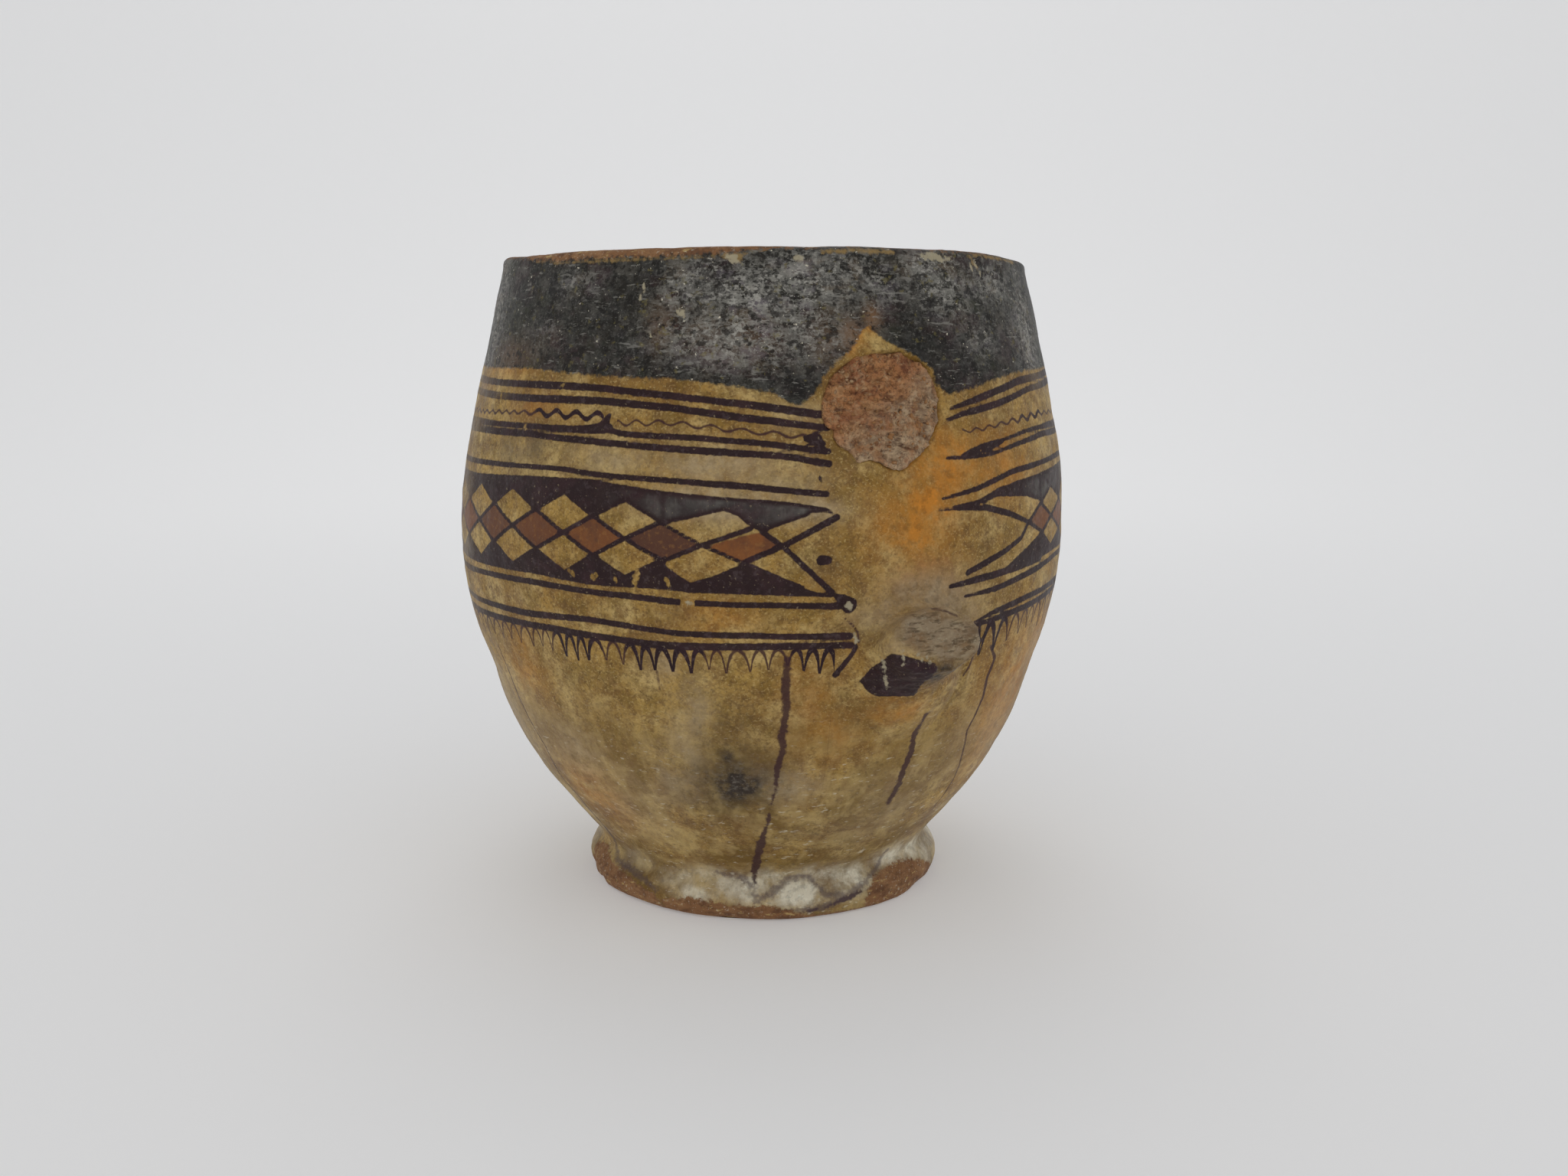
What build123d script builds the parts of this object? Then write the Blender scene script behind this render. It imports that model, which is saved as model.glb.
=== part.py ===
"""Hand-built painted earthenware drinking pot whose one handle has broken off.

Millimetres, +Z up. The origin is the middle of the standing face, on the pot's axis.
The lost handle pointed along -Y. The pot is clay elements luted together: a floor, a foot
coil pressed round it, three wall courses and a rim coil on bevelled joints, and the two
roots of the handle: the upper one let into a socket in the wall, the lower one saddled on it.
"""
import math
import os

from build123d import *

# Heights of the clay elements, stacked from the ground up
waist_height = 11.0
lower_course = 49.0
belly_course = 45.0
shoulder_course = 58.0
rim_course = 17.0

# Outer radius of the barrel where each element ends
waist_radius = 47.8
flank_radius = 78.8
belly_radius = 87.7
neck_radius = 78.2
rim_radius = 74.8

# Swell of the lower and the shoulder course beyond a straight line, and the lean at both ends
hip_swell = 3.61
hip_rise = 21.0
shoulder_swell = 1.36
shoulder_rise = 37.0
waist_lean = 36.0
rim_lean = -13.0

# Thickness of the wall, measured level
sole_thickness = 13.0
hip_thickness = 10.5
wall_thickness = 7.5
lip_thickness = 6.5
lip_rounding = 2.8

# Foot coil, and the wedge-shaped edge of the floor that it holds
foot_radius = 52.8
foot_bulge_height = 3.0
foot_contact_radius = 51.4
floor_top_radius = 43.0
floor_bottom_radius = 39.0

# Joints between the clay elements
joint_slope = 30.0
lute_gap = 0.1

# Upper handle root: a plug broken off almost flush with the wall
upper_root_rise = 36.0
upper_root_turn = 0.0
upper_root_width = 31.0
upper_root_height = 29.5
upper_root_taper = 12.0
upper_root_proud = 0.6
upper_root_seat = 3.0

# Lower handle root: a stump that leans up from a flared saddle on the wall
lower_root_rise = 21.0
lower_root_turn = 4.4
saddle_width = 36.0
saddle_height = 37.0
saddle_sink = 6.0
throat_width = 22.5
throat_height = 18.5
throat_reach = 5.5
throat_rise = 3.5
throat_lean = 10.0
stump_width = 19.5
stump_height = 13.5
stump_reach = 14.3
stump_rise = 6.7
stump_lean = 24.0
stump_wear = 3.5

# Room beyond the pot for the shapes that only cut
spare = 20.0

# Heights above the ground that follow
hip_height = waist_height + hip_rise
flank_height = waist_height + lower_course
belly_height = flank_height + belly_course
shoulder_height = belly_height + shoulder_rise
neck_height = belly_height + shoulder_course
pot_height = neck_height + rim_course

# Radii inside the lower and the shoulder course that follow
hip_chord = waist_radius + (flank_radius - waist_radius) * hip_rise / lower_course
hip_radius = hip_chord + hip_swell
shoulder_chord = belly_radius + (neck_radius - belly_radius) * shoulder_rise / shoulder_course
shoulder_radius = shoulder_chord + shoulder_swell


def outer_line(inset=0.0):
    """Curve of the outside from the waist to the lip, moved towards the axis by inset."""
    stations = (
        (waist_radius, waist_height),
        (hip_radius, hip_height),
        (flank_radius, flank_height),
        (belly_radius, belly_height),
        (shoulder_radius, shoulder_height),
        (neck_radius, neck_height),
        (rim_radius, pot_height - lip_rounding),
    )
    leans = [Vector(0, 1).rotate(Axis.Z, -lean) for lean in (waist_lean, rim_lean)]
    return Spline(*[(radius - inset, height) for radius, height in stations], tangents=leans)


def inner_line():
    """Curve of the inside from the floor to the lip, thicker towards the floor."""
    stations = (
        (waist_radius - sole_thickness, waist_height),
        (hip_radius - hip_thickness, hip_height),
        (flank_radius - wall_thickness, flank_height),
        (belly_radius - wall_thickness, belly_height),
        (shoulder_radius - wall_thickness, shoulder_height),
        (rim_radius - lip_thickness, pot_height - lip_rounding),
    )
    return Spline(*stations)


def turned(section):
    """Solid of a section in the radius and height plane, turned about the pot's axis."""
    return revolve(Plane.XZ * section, axis=Axis.Z)


def crossing(curve, joint, lift=0.0):
    """Share of a wall curve that lies below a joint: a radius and height of the outside, and a slope."""
    radius, height, slope = joint
    fall = math.tan(math.radians(slope))
    low, high = 0.0, 1.0
    for _ in range(40):
        middle = (low + high) / 2
        point = curve @ middle
        if point.Y > height + (point.X - radius) * fall + lift:
            high = middle
        else:
            low = middle
    return low


def wall_course(lower, upper=None):
    """Ring of wall from one joint to the next or, with no joint above, to the rounded lip."""
    outside = outer_line()
    inside = inner_line()
    outside = outside.trim(
        crossing(outside, lower, lute_gap),
        crossing(outside, upper) if upper else 1.0,
    )
    inside = inside.trim(
        crossing(inside, lower, lute_gap),
        crossing(inside, upper) if upper else 1.0,
    )
    if upper:
        top = Line(outside @ 1, inside @ 1)
    else:
        top = ThreePointArc(outside @ 1, (rim_radius - lip_thickness / 2, pot_height), inside @ 1)
    return turned(make_face([outside, top, inside, Line(inside @ 0, outside @ 0)]))


def barrel(inset):
    """Solid inside the pot's outer skin, which is moved towards the axis by inset."""
    skin = outer_line(inset)
    bottom = (0, waist_height)
    top = (0, pot_height - lip_rounding)
    return turned(make_face([skin, Polyline(skin @ 1, top, bottom, skin @ 0)]))


def wall_plane(turn, height):
    """Plane on the outer skin: x runs round the pot, y up, and it faces away from the axis."""
    skin = outer_line()
    radius = (skin @ crossing(skin, (0, height, 0))).X
    angle = math.radians(turn)
    outward = Vector(math.sin(angle), -math.cos(angle), 0)
    place = outward * radius + Vector(0, 0, height)
    return Plane(origin=place, x_dir=(math.cos(angle), math.sin(angle), 0), z_dir=outward)


def oval(width, height, growth=0.0):
    """Elliptical section, made larger all round by growth."""
    return Ellipse(width / 2 + growth, height / 2 + growth)


def upper_plug(growth=0.0):
    """Tapered plug of the handle's upper end, square to the wall."""
    flare = spare * math.tan(math.radians(upper_root_taper)) / 2
    outside = Pos(0, 0, spare / 2) * oval(upper_root_width, upper_root_height, growth + flare)
    inside = Pos(0, 0, -spare / 2) * oval(upper_root_width, upper_root_height, growth - flare)
    return wall_plane(upper_root_turn, belly_height + upper_root_rise) * loft([inside, outside])


def lower_stump():
    """Horn of the handle's lower end: flared at the wall, leaning up to a worn break."""
    saddle = Pos(0, 0, -saddle_sink) * oval(saddle_width, saddle_height)
    throat = Pos(0, throat_rise, throat_reach) * Rot(-throat_lean, 0, 0)
    end = Pos(0, stump_rise, stump_reach) * Rot(-stump_lean, 0, 0)
    horn = loft([
        saddle,
        throat * oval(throat_width, throat_height),
        end * oval(stump_width, stump_height),
    ])
    broken_edge = horn.faces().sort_by(Axis.Z)[-1].edges()
    return wall_plane(lower_root_turn, flank_height + lower_root_rise) * fillet(broken_edge, stump_wear)


# Floor and foot
floor_edge = Line((floor_bottom_radius, 0), (floor_top_radius, waist_height))
base_disc = turned(make_face([
    floor_edge,
    Polyline(floor_edge @ 1, (0, waist_height), (0, 0), floor_edge @ 0),
]))
foot_bulge = ThreePointArc(
    (foot_contact_radius, 0),
    (foot_radius, foot_bulge_height),
    (waist_radius, waist_height),
)
foot_ring = turned(make_face([
    foot_bulge,
    Polyline(
        foot_bulge @ 1,
        (floor_top_radius + lute_gap, waist_height),
        (floor_bottom_radius + lute_gap, 0),
        foot_bulge @ 0,
    ),
]))

# Wall courses, each on a bevelled joint with the one below
floor_joint = (waist_radius, waist_height, 0)
flank_joint = (flank_radius, flank_height, joint_slope)
belly_joint = (belly_radius, belly_height, joint_slope)
neck_joint = (neck_radius, neck_height, joint_slope)
lower_wall = wall_course(floor_joint, flank_joint)
belly_wall = wall_course(flank_joint, belly_joint)
shoulder_wall = wall_course(belly_joint, neck_joint)
rim_coil = wall_course(neck_joint)

# Handle roots: the upper one in its socket, the lower one on the skin
upper_handle_root = (upper_plug() & barrel(-upper_root_proud)) - barrel(upper_root_seat)
shoulder_wall -= upper_plug(lute_gap) - barrel(upper_root_seat + lute_gap)
lower_handle_root = lower_stump() - barrel(-lute_gap)

nodes = {
    "base_disc": base_disc,
    "foot_ring": foot_ring,
    "lower_wall": lower_wall,
    "belly_wall": belly_wall,
    "shoulder_wall": shoulder_wall,
    "rim_coil": rim_coil,
    "upper_handle_root": upper_handle_root,
    "lower_handle_root": lower_handle_root,
}
os.makedirs("parts", exist_ok=True)
for name, shape in nodes.items():
    export_step(shape, f"parts/{name}.step")
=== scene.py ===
"""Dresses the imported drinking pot: slip-painted walls, bare clay, broken handle roots and a studio.

Laid out as an add-on and run as a script. Places on the pot are an angle and a height: degrees
from the side where the handle was (-Y), positive towards +X, and millimetres above the ground.
"""
import functools
import math
from types import SimpleNamespace

import bpy
import numpy as np
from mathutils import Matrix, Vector


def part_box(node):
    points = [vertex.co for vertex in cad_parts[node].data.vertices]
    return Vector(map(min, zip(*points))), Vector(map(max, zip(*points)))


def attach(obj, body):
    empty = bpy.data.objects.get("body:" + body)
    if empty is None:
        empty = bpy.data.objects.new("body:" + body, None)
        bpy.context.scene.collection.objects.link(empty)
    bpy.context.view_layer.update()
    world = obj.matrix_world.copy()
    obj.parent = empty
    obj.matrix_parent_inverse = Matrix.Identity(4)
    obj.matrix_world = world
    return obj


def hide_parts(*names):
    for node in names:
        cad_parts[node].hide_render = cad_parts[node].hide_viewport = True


bl_info = {
    "name": "Painted Drinking Pot",
    "version": (1, 0, 0),
    "blender": (4, 5, 0),
    "location": "View3D > Sidebar > Pot",
    "description": "Slip-painted clay skins, broken handle roots and a plain studio for the packed pot",
    "category": "Object",
}

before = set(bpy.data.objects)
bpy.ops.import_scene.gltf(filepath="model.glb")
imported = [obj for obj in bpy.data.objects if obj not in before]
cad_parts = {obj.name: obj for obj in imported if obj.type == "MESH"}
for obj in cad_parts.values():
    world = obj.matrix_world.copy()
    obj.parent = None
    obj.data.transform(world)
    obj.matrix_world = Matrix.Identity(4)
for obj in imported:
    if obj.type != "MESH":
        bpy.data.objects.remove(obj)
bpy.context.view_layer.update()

MM = 0.001
ARC = math.radians(1)

# Main places of the pot in millimetres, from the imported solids
WAIST_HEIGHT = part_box("foot_ring")[1].z / MM
FLANK_RADIUS, _, FLANK_HEIGHT = (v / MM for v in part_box("lower_wall")[1])
BELLY_RADIUS, _, BELLY_HEIGHT = (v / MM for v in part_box("belly_wall")[1])
NECK_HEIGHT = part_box("shoulder_wall")[1].z / MM
POT_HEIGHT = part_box("rim_coil")[1].z / MM

# The swell between those places, the walls and the foot, as the solids have them
WAIST_RADIUS, HIP_RADIUS, HIP_RISE = 47.8, 64.7, 21.0
SHOULDER_RADIUS, SHOULDER_RISE, NECK_RADIUS, RIM_RADIUS = 83.0, 37.0, 78.2, 74.8
WAIST_LEAN, RIM_LEAN = 36.0, -13.0
SOLE_THICKNESS, HIP_THICKNESS, WALL_THICKNESS = 13.0, 10.5, 7.5
LIP_THICKNESS, LIP_ROUNDING, JOINT_SLOPE = 6.5, 2.8, 30.0
FOOT_RADIUS, FOOT_BULGE, FOOT_CONTACT = 52.8, 3.0, 51.4
FLOOR_TOP_RADIUS, FLOOR_BOTTOM_RADIUS = 43.0, 39.0
WAIST_FILLET = 3.6
COLUMNS = 1080

# The mouth leans by so many millimetres towards an angle, is raised at the left and uneven all round
LEAN_ANGLE, LEAN, LEAN_LEVELS = 70.0, 0.9, (118, 180)
RAISED_ANGLE, RAISED_SPAN, RAISED = -98.0, 15.0, 1.3
RIM_TILT, RIM_WAVER, RIM_DROP, RIM_LEVELS = 0.45, 0.3, 0.35, (120, 178)

# Middle of the lower handle root
STUMP_ANGLE, STUMP_LEVEL = 4.4, 81.0

# What a ring's rows of faces are
OUTSIDE, LINING, JOINT = 0, 1, 2

# Distance from a mark that is nowhere near, and the least radius that a mark lies on
FAR, LEAST_RADIUS = 99.0, 45.0

# Edge of slip that stands proud round the upper break, and how deep the break is let in
PROUD_EDGE, SCAR_DEPTH = 0.55, 1.8

# Height of the slip's worn edge on the lip, and how much lower it lies at the left
WORN_LIP, LEFT_LIP_WEAR = 179.8, 1.8

# Studio camera: degrees round the pot, metres out and up, how far it looks down and turns, and its lens
CAMERA_SIDE, CAMERA_DISTANCE, CAMERA_HEIGHT = -20.0, 0.41668, 0.15403
CAMERA_DOWN, CAMERA_TURN, CAMERA_LENS = 9.49, -20.88, 32.08

# Hand-made departures of the skin: angle, height, half width, half height and rise in millimetres
DENTS = (
    (70, 72, 2.2, 1.8, 0.9), (-97, 3.5, 4.0, 2.4, -1.3), (-86, 1.2, 3.0, 1.6, -1.0),
    (-31, 0.4, 3.6, 1.3, -0.9), (40, 1.0, 5.0, 1.5, -0.8), (150, 1.5, 6.0, 2.0, -1.0),
    (-26, 178, 2.2, 1.4, -0.7), (-14, 177.6, 1.6, 1.2, -0.5), (14, 178.2, 3.0, 1.3, -0.7),
    (26, 177.4, 1.6, 1.4, -0.5), (120, 178, 3.4, 1.6, -0.8), (-150, 178, 2.4, 1.4, -0.6),
    (-60, 95, 26, 20, -0.5), (55, 120, 22, 26, 0.3), (170, 70, 30, 24, -0.6), (100, 40, 22, 16, 0.5),
    (-110, 156, 45, 9, -0.5), (-112, 128, 50, 22, -0.5), (-110, 66, 45, 8, -0.7), (70, 66, 40, 8, -0.5),
    (-110, 84, 40, 7, 0.3), (70, 108, 40, 8, -0.3), (-6.2, 94.1, 1.5, 1.4, -0.4),
    (-5.2, 87.4, 0.9, 2.6, 0.5), (-4.3, 86.6, 0.7, 2.4, -0.4), (19.3, 74.5, 1.2, 5.0, 0.5),
)

# Painted lines round the pot: places left of the handle, places right of it, the width, and the
# degrees over which the right end tapers
LINES = {
    "first": (
        ((-87.7, 147.3), (-66.5, 146.8), (-48.9, 146.1), (-35.5, 144.5), (-23.6, 142.5), (-10.9, 139.8)),
        ((13.8, 140.8), (23, 143.8), (34, 147.2), (53.7, 149.3)), 1.85, 9),
    "second": (
        ((-82.3, 143.9), (-65.8, 143.3), (-48.6, 143.1), (-35.4, 141.6), (-23.6, 139.3), (-9.7, 136.8)),
        ((12.9, 137.9), (16, 139.3), (25.5, 141.4), (37.8, 145), (54.5, 147)), 1.85, 9),
    "third": (
        ((-83.4, 136.3), (-64.5, 136.3), (-52.9, 136.1), (-47.1, 136.2), (-43.4, 135), (-31.1, 134.5),
         (-19.8, 133.2), (-9.7, 131.2)),
        ((18, 130.4), (22.8, 131.4), (26, 132.4), (34.6, 134.4), (46.4, 135.2)), 1.55, 30),
    "fourth": (
        ((-82.7, 134.2), (-64.2, 134.2), (-47.8, 133.1), (-35, 132.0), (-23.5, 130.9), (-16, 130.1),
         (-9.5, 128.2)),
        ((12.1, 128.9), (15.8, 128.6), (22.6, 129.1), (30.9, 131.2), (41.6, 133.1)), 1.65, 30),
    "fifth": (
        ((-82.8, 125.7), (-63.1, 126.2), (-55.6, 126.2), (-47.3, 125.1), (-34.8, 124.5), (-23.4, 123.4),
         (-9.9, 121.1)),
        ((10.6, 119.1), (17.6, 120.7), (28.5, 124.4), (50.1, 126.6)), 1.45, 9),
    "sixth": (
        ((-88.5, 96.2), (-62.1, 97), (-41.6, 96), (-33.3, 95.2), (-17.8, 94.7), (-7.3, 94)),
        ((15.6, 94.1), (23.2, 94.7), (32.7, 96.7), (48, 99.3)), 1.65, 9),
    "seventh": (
        ((-89.2, 88), (-66.7, 88.1), (-49.9, 89.1), (-33.6, 87.2), (-21.6, 87.1), (-5.8, 86.4)),
        ((18.7, 86.4), (22.4, 88.3), (33.8, 90.4), (49.1, 91.5)), 1.7, 9),
    "eighth": (
        ((-88, 84.6), (-71.5, 85), (-57.4, 85.3), (-46.9, 84.8), (-37.9, 84), (-29.6, 84), (-17.7, 84.3),
         (-5.4, 84)),
        ((19.1, 85.7), (27.4, 86.8), (39, 88.1), (50.6, 89.4)), 1.85, 9),
}

# Edges of the lozenge frieze and middle of the wavy line, left and right of the handle, and the lower
# edge of the black neck all round
FRIEZE_TOP = (
    ((-82.1, 122.7), (-62.9, 123.9), (-49.1, 124.1), (-42.8, 123), (-34.7, 121.7), (-23.4, 120.6)),
    ((29.6, 121.9), (51.7, 124.5)))
FRIEZE_BOTTOM = (
    ((-78.8, 98.8), (-62, 99.2), (-48.9, 98), (-37.3, 98.2), (-30.5, 97.5), (-13.2, 97)),
    ((12.5, 96.9), (18.7, 97.6), (25.7, 98.6), (36.5, 99.9), (47.6, 101.1)))
WAVE = (
    ((-84, 139), (-76, 139.4), (-62, 139.8), (-48, 139.3), (-45.4, 137.8), (-35.2, 138), (-23.5, 136.2),
     (-14.1, 134.9), (-13, 134.5)),
    ((15.7, 135.1), (21.2, 135.6), (28.1, 136.8), (37, 137.9), (42, 138.5)))
NECK_EDGE = (
    (-9.9, 149.4), (-8, 152), (-6, 154.2), (-4.6, 155.6), (-3.6, 158), (-2.6, 160), (-1.9, 160.7),
    (-1.1, 160.2), (0.2, 158.7), (1.3, 157.6), (2.9, 156.7), (4.9, 155.4), (8, 152.9), (10.5, 150.5),
    (11.4, 147), (12.5, 145.3), (14, 144.6), (16.2, 145), (19.5, 145.8), (23.6, 147.1), (32.1, 149.3),
    (47, 150.5), (80, 151.2), (110, 150.3), (140, 151.4), (170, 150.5), (-160, 151.2), (-125, 150.2),
    (-90.5, 150.5), (-67.4, 150.8), (-49.3, 149.2), (-35.7, 148.2), (-23.6, 146.3), (-18.2, 145),
    (-15.7, 142.6), (-14.2, 142.3), (-12.8, 143.3), (-11.6, 145.3), (-10.3, 148.1),
)

# Wavy line: its waves' width by angle, and where the brush was loaded: from, to, from, to and how much
WAVE_PERIODS = (
    (-344, 3.2), (-318, 4.0), (-84, 3.0), (-70, 3.0), (-64, 4.6), (-48, 4.6), (-45, 3.5), (-34, 4.3),
    (-24, 5.0))
BOLD_WAVES = ((-68, -60, -48, -46.8, 1.0), (-250, -240, -200, -190, 1.0), (-331, -326, -318, -316, 0.6))
WAVE_GAP = (-47.6, -45.2)

# Swing and half width of the wavy line, and what a loaded brush adds to each
WAVE_SWING, WAVE_HALF, BOLD_SWING, BOLD_HALF = 0.42, 0.3, 0.42, 0.32

# Break in the sixth line: from and to which angle, its height and half its height
SIXTH_GAP = (-33.2, -30.7, 95.1, 1.8)

# Lozenges: height of their middle, how far it dips near the handle and over how many degrees,
# a lozenge's width in degrees, its border line's width, and the tones of the last ones
LOZENGE_LEVEL, LOZENGE_DIP, DIP_SPAN = 110.8, 2.4, 24.0
LOZENGE_WIDTH, BORDER_WIDTH = 12.4, 1.15
LAST_TONES = (0.7, 0.55, 0.3, 0.95, 0.15)

# Lozenge lattice: from and to which angle, where its lines cross, and half a lozenge's height by angle
LATTICE_ENDS = (-321.6, -35.4)
CROSSINGS = (-327, -316.2, -79, -67.2, -54.3, -42.4, -29.5, -16.9)
LOZENGE_RISE = ((-327, 3.9), (-300, 4.6), (-200, 4.9), (-54, 5.0), (-42, 4.7), (-29, 4.4))

# Ends of the frieze that the hand drew freely: outlines of dark grounds, and red fillings with their tone
DARK_GROUNDS = (
    ((-36.3, 113.9), (-31.6, 115.3), (-26.1, 117.4), (-24, 116.3), (-21.8, 113.6), (-20.1, 112.5),
     (-19, 113), (-16.3, 114.5), (-13.4, 115.9), (-12.6, 116.4), (-12.5, 116.9), (-10.2, 116.9),
     (-8.8, 116.6), (-9.2, 117.4), (-10, 118), (-12.4, 118.7), (-15.9, 119.5), (-19.8, 120.1),
     (-24.2, 120.5), (-28.2, 120.9), (-31.6, 121.3), (-36.3, 121.9)),
    ((-36.3, 105.1), (-33.9, 102.4), (-31.4, 100.1), (-27.7, 101.9), (-23.6, 104.6), (-22.7, 105.4),
     (-21.2, 104.6), (-16.3, 101.2), (-13.5, 99.4), (-13.4, 98.7), (-11.3, 97.7), (-8.6, 97.2),
     (-8.6, 96.3), (-13.1, 96.7), (-16.8, 97), (-24.2, 97.5), (-31.6, 97.6), (-36.3, 98.1)),
    ((10.9, 116.2), (13.2, 117.2), (18.5, 118.1), (23.8, 120.6), (30, 121.9), (38.7, 122.9),
     (38.7, 115.3), (32.7, 117.4), (23.7, 118.4), (18.7, 117), (20.7, 115.1), (13.2, 115.9)),
    ((25.8, 99.7), (28.6, 101.7), (37.8, 107.1), (38.7, 107.2), (38.7, 100.1), (34.7, 99.5), (26.4, 97.8)),
)
RED_ENDS = (
    (((-29.0, 109), (-20.5, 112.5), (-17.4, 109.1), (-22.7, 104.9)), 0.15),
    (((-36.1, 113.9), (-29.8, 109.2), (-36.1, 105.3)), 0.95),
    (((33.2, 111), (38.5, 114.6), (38.5, 107.8)), 0.5),
)

# Single strokes of the brush: places and widths from end to end
STROKES = (
    ((-36, 105, 1.1), (-29.5, 109.2, 1.2), (-21.8, 113.3, 1.3)),
    ((-36, 114.2, 1.0), (-29.5, 109.2, 1.0), (-22.7, 104.9, 1.0)),
    ((-22.7, 105.4, 1.4), (-16.9, 109.1, 1.4), (-8.4, 115.7, 1.8)),
    ((-20.1, 112.5, 1.4), (-16.9, 109.1, 1.3), (-9, 97.5, 1.6)),
    ((19.7, 116.2, 1.7), (26.7, 113.7, 1.7), (32.6, 110.8, 1.3), (38.4, 107.4, 1.2)),
    ((16, 100, 1.6), (20.9, 102.2, 1.9), (25.6, 104.3, 1.6), (30.2, 106.8, 1.4), (32.6, 110.1, 1.2),
     (38.4, 115, 1.2)),
    ((12.3, 97, 1.2), (18.7, 98, 2.0), (25.5, 98.7, 2.0), (38.6, 100, 1.5)),
    ((-10.9, 105.5, 2.4), (-9.8, 105.5, 2.2)), ((-8.6, 96.9, 0.9), (-7.3, 95.6, 3.0), (-6.2, 94.3, 4.2)),
    ((-13.1, 134.4, 1.6), (-11.6, 134.1, 3.4), (-10.6, 133.0, 1.9)),
    ((-60, 136.1, 1.5), (-54, 136.0, 1.8), (-50, 136.1, 2.4), (-47.2, 136.7, 3.2), (-46.2, 136.5, 2.0)),
    ((-47.4, 137.8, 2.4), (-46.8, 139.2, 1.5), (-46.5, 140, 0.6)),
    ((15.6, 129.3, 1.0), (18, 130, 2.0), (20.5, 130.7, 2.5), (22.8, 131.3, 2.3), (26, 132.2, 1.4)),
    ((9.6, 116.4, 0.6), (12, 116.4, 0.9)), ((-11, 125.3, 0.7), (-10.9, 125.1, 0.7)),
    ((-10.8, 124.2, 0.7), (-10.7, 124, 0.7)), ((-7.8, 76.3, 1.6), (-4.9, 82.1, 1.2), (-4.6, 83.6, 1.4)),
    ((20.2, 85.8, 1.0), (21.4, 77.7, 1.1)), ((20.6, 79, 0.9), (22.8, 85, 0.7)),
)

# Fringe beside the handle: places of its tips, and between which angles its lines are heavy
FRINGE_TIPS = (
    (-75.3, 79), (-72, 79.6), (-68.9, 79.2), (-65, 79), (-62.3, 79.6), (-59.8, 79), (-56.4, 78.2),
    (-53.7, 77.6), (-51.3, 78.2), (-47.5, 78.8), (-44.3, 78), (-41.1, 76.9), (-38.5, 77.2), (-35.3, 77),
    (-32.1, 76.8), (-29, 78), (-26.2, 77), (-22.1, 77.5), (-19.1, 78), (-15.9, 79.2), (-13.2, 77.6),
    (-10.5, 76.8), (-7.7, 76), (21.5, 77.4), (25.4, 77.6), (29.3, 79.4), (33.2, 80.4), (36.5, 81.2),
    (39.2, 82))
HEAVY_FRINGE = ((-57, -51), (-42, -31.5), (-14, -7), (20, 26))

# Fringe round the back: from and to which angle, an arch's width in degrees, the height of its tips,
# and half the width of a thin and of a heavy line
FRINGE_BACK, ARCH_WIDTH, ARCH_LEVEL = (-78.6, -317.0), 3.35, 78.6
THIN_ARCH, HEAVY_ARCH = 0.41, 0.68

# Paint that ran down from the fringe, and the faded line round the foot, as strokes
THIN_DROPS = (
    ((-38.2, 77, 0.6), (-38.1, 72, 0.4)),
    ((24.6, 79, 1.0), (26.8, 75.2, 1.2), (26.1, 69.1, 1.2), (26.6, 64.2, 1.0), (24.8, 55, 0.7),
     (29.5, 38, 0.6), (30, 28, 0.5)),
    ((-79.6, 76, 0.6), (-78.4, 66.3, 0.7), (-77, 56.3, 0.7), (-74.6, 47.5, 0.6), (-75.6, 38.5, 0.6),
     (-74.3, 31.1, 0.7), (-75.5, 22.6, 0.9), (-78.6, 15, 1.3)),
    ((-140, 78, 0.7), (-141, 60, 0.8), (-139, 41, 0.6), (-140, 30, 0.5)),
    ((118, 79, 0.7), (117, 66, 0.7), (119, 52, 0.5)),
    ((-6.7, 90.9, 0.5), (-5.4, 89.1, 0.6), (-4.5, 87.3, 0.6), (-4.1, 84.7, 0.5)),
    ((20.1, 78.7, 0.8), (19.5, 75.6, 0.7), (18.5, 72, 0.5)),
    ((7.8, 91.5, 0.4), (10.3, 90.4, 0.5), (11.8, 89.1, 0.5)),
    ((14.9, 87.7, 0.5), (17.9, 86, 0.6), (19.5, 83.9, 0.5)),
)
DRIPS = (
    ((-15.9, 80.6, 1.6), (-16.2, 72.4, 2.3), (-15.9, 67.2, 1.9), (-16.6, 60.2, 2.1), (-16.3, 55.3, 1.5),
     (-17.3, 50.3, 1.5), (-17.4, 44, 0.9), (-18, 41, 0.2), (-18.7, 36.6, 0.2), (-18.8, 34.4, 1.5),
     (-19.2, 31.5, 0.6), (-19.7, 29.4, 1.2), (-20.7, 24.9, 2.4), (-21.6, 20, 2.0), (-22.1, 17.4, 2.4),
     (-22.9, 13.6, 1.7), (-23, 10.2, 0.9)),
    ((10.9, 63.2, 1.0), (10, 58.6, 1.7), (10.4, 51.9, 2.1), (9.8, 46.9, 1.8), (10, 41.6, 2.0),
     (9.4, 36, 1.3)),
    ((-1, 3.2, 0.8), (5, 4.8, 1.4), (10.6, 5.8, 1.0)), ((-9, 2.4, 0.7), (-4, 2.8, 1.0)),
    ((160, 72, 1.2), (161, 55, 1.7), (159, 40, 1.1)), ((-118, 78, 1.2), (-117, 64, 1.6), (-118, 55, 1.0)),
)
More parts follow.
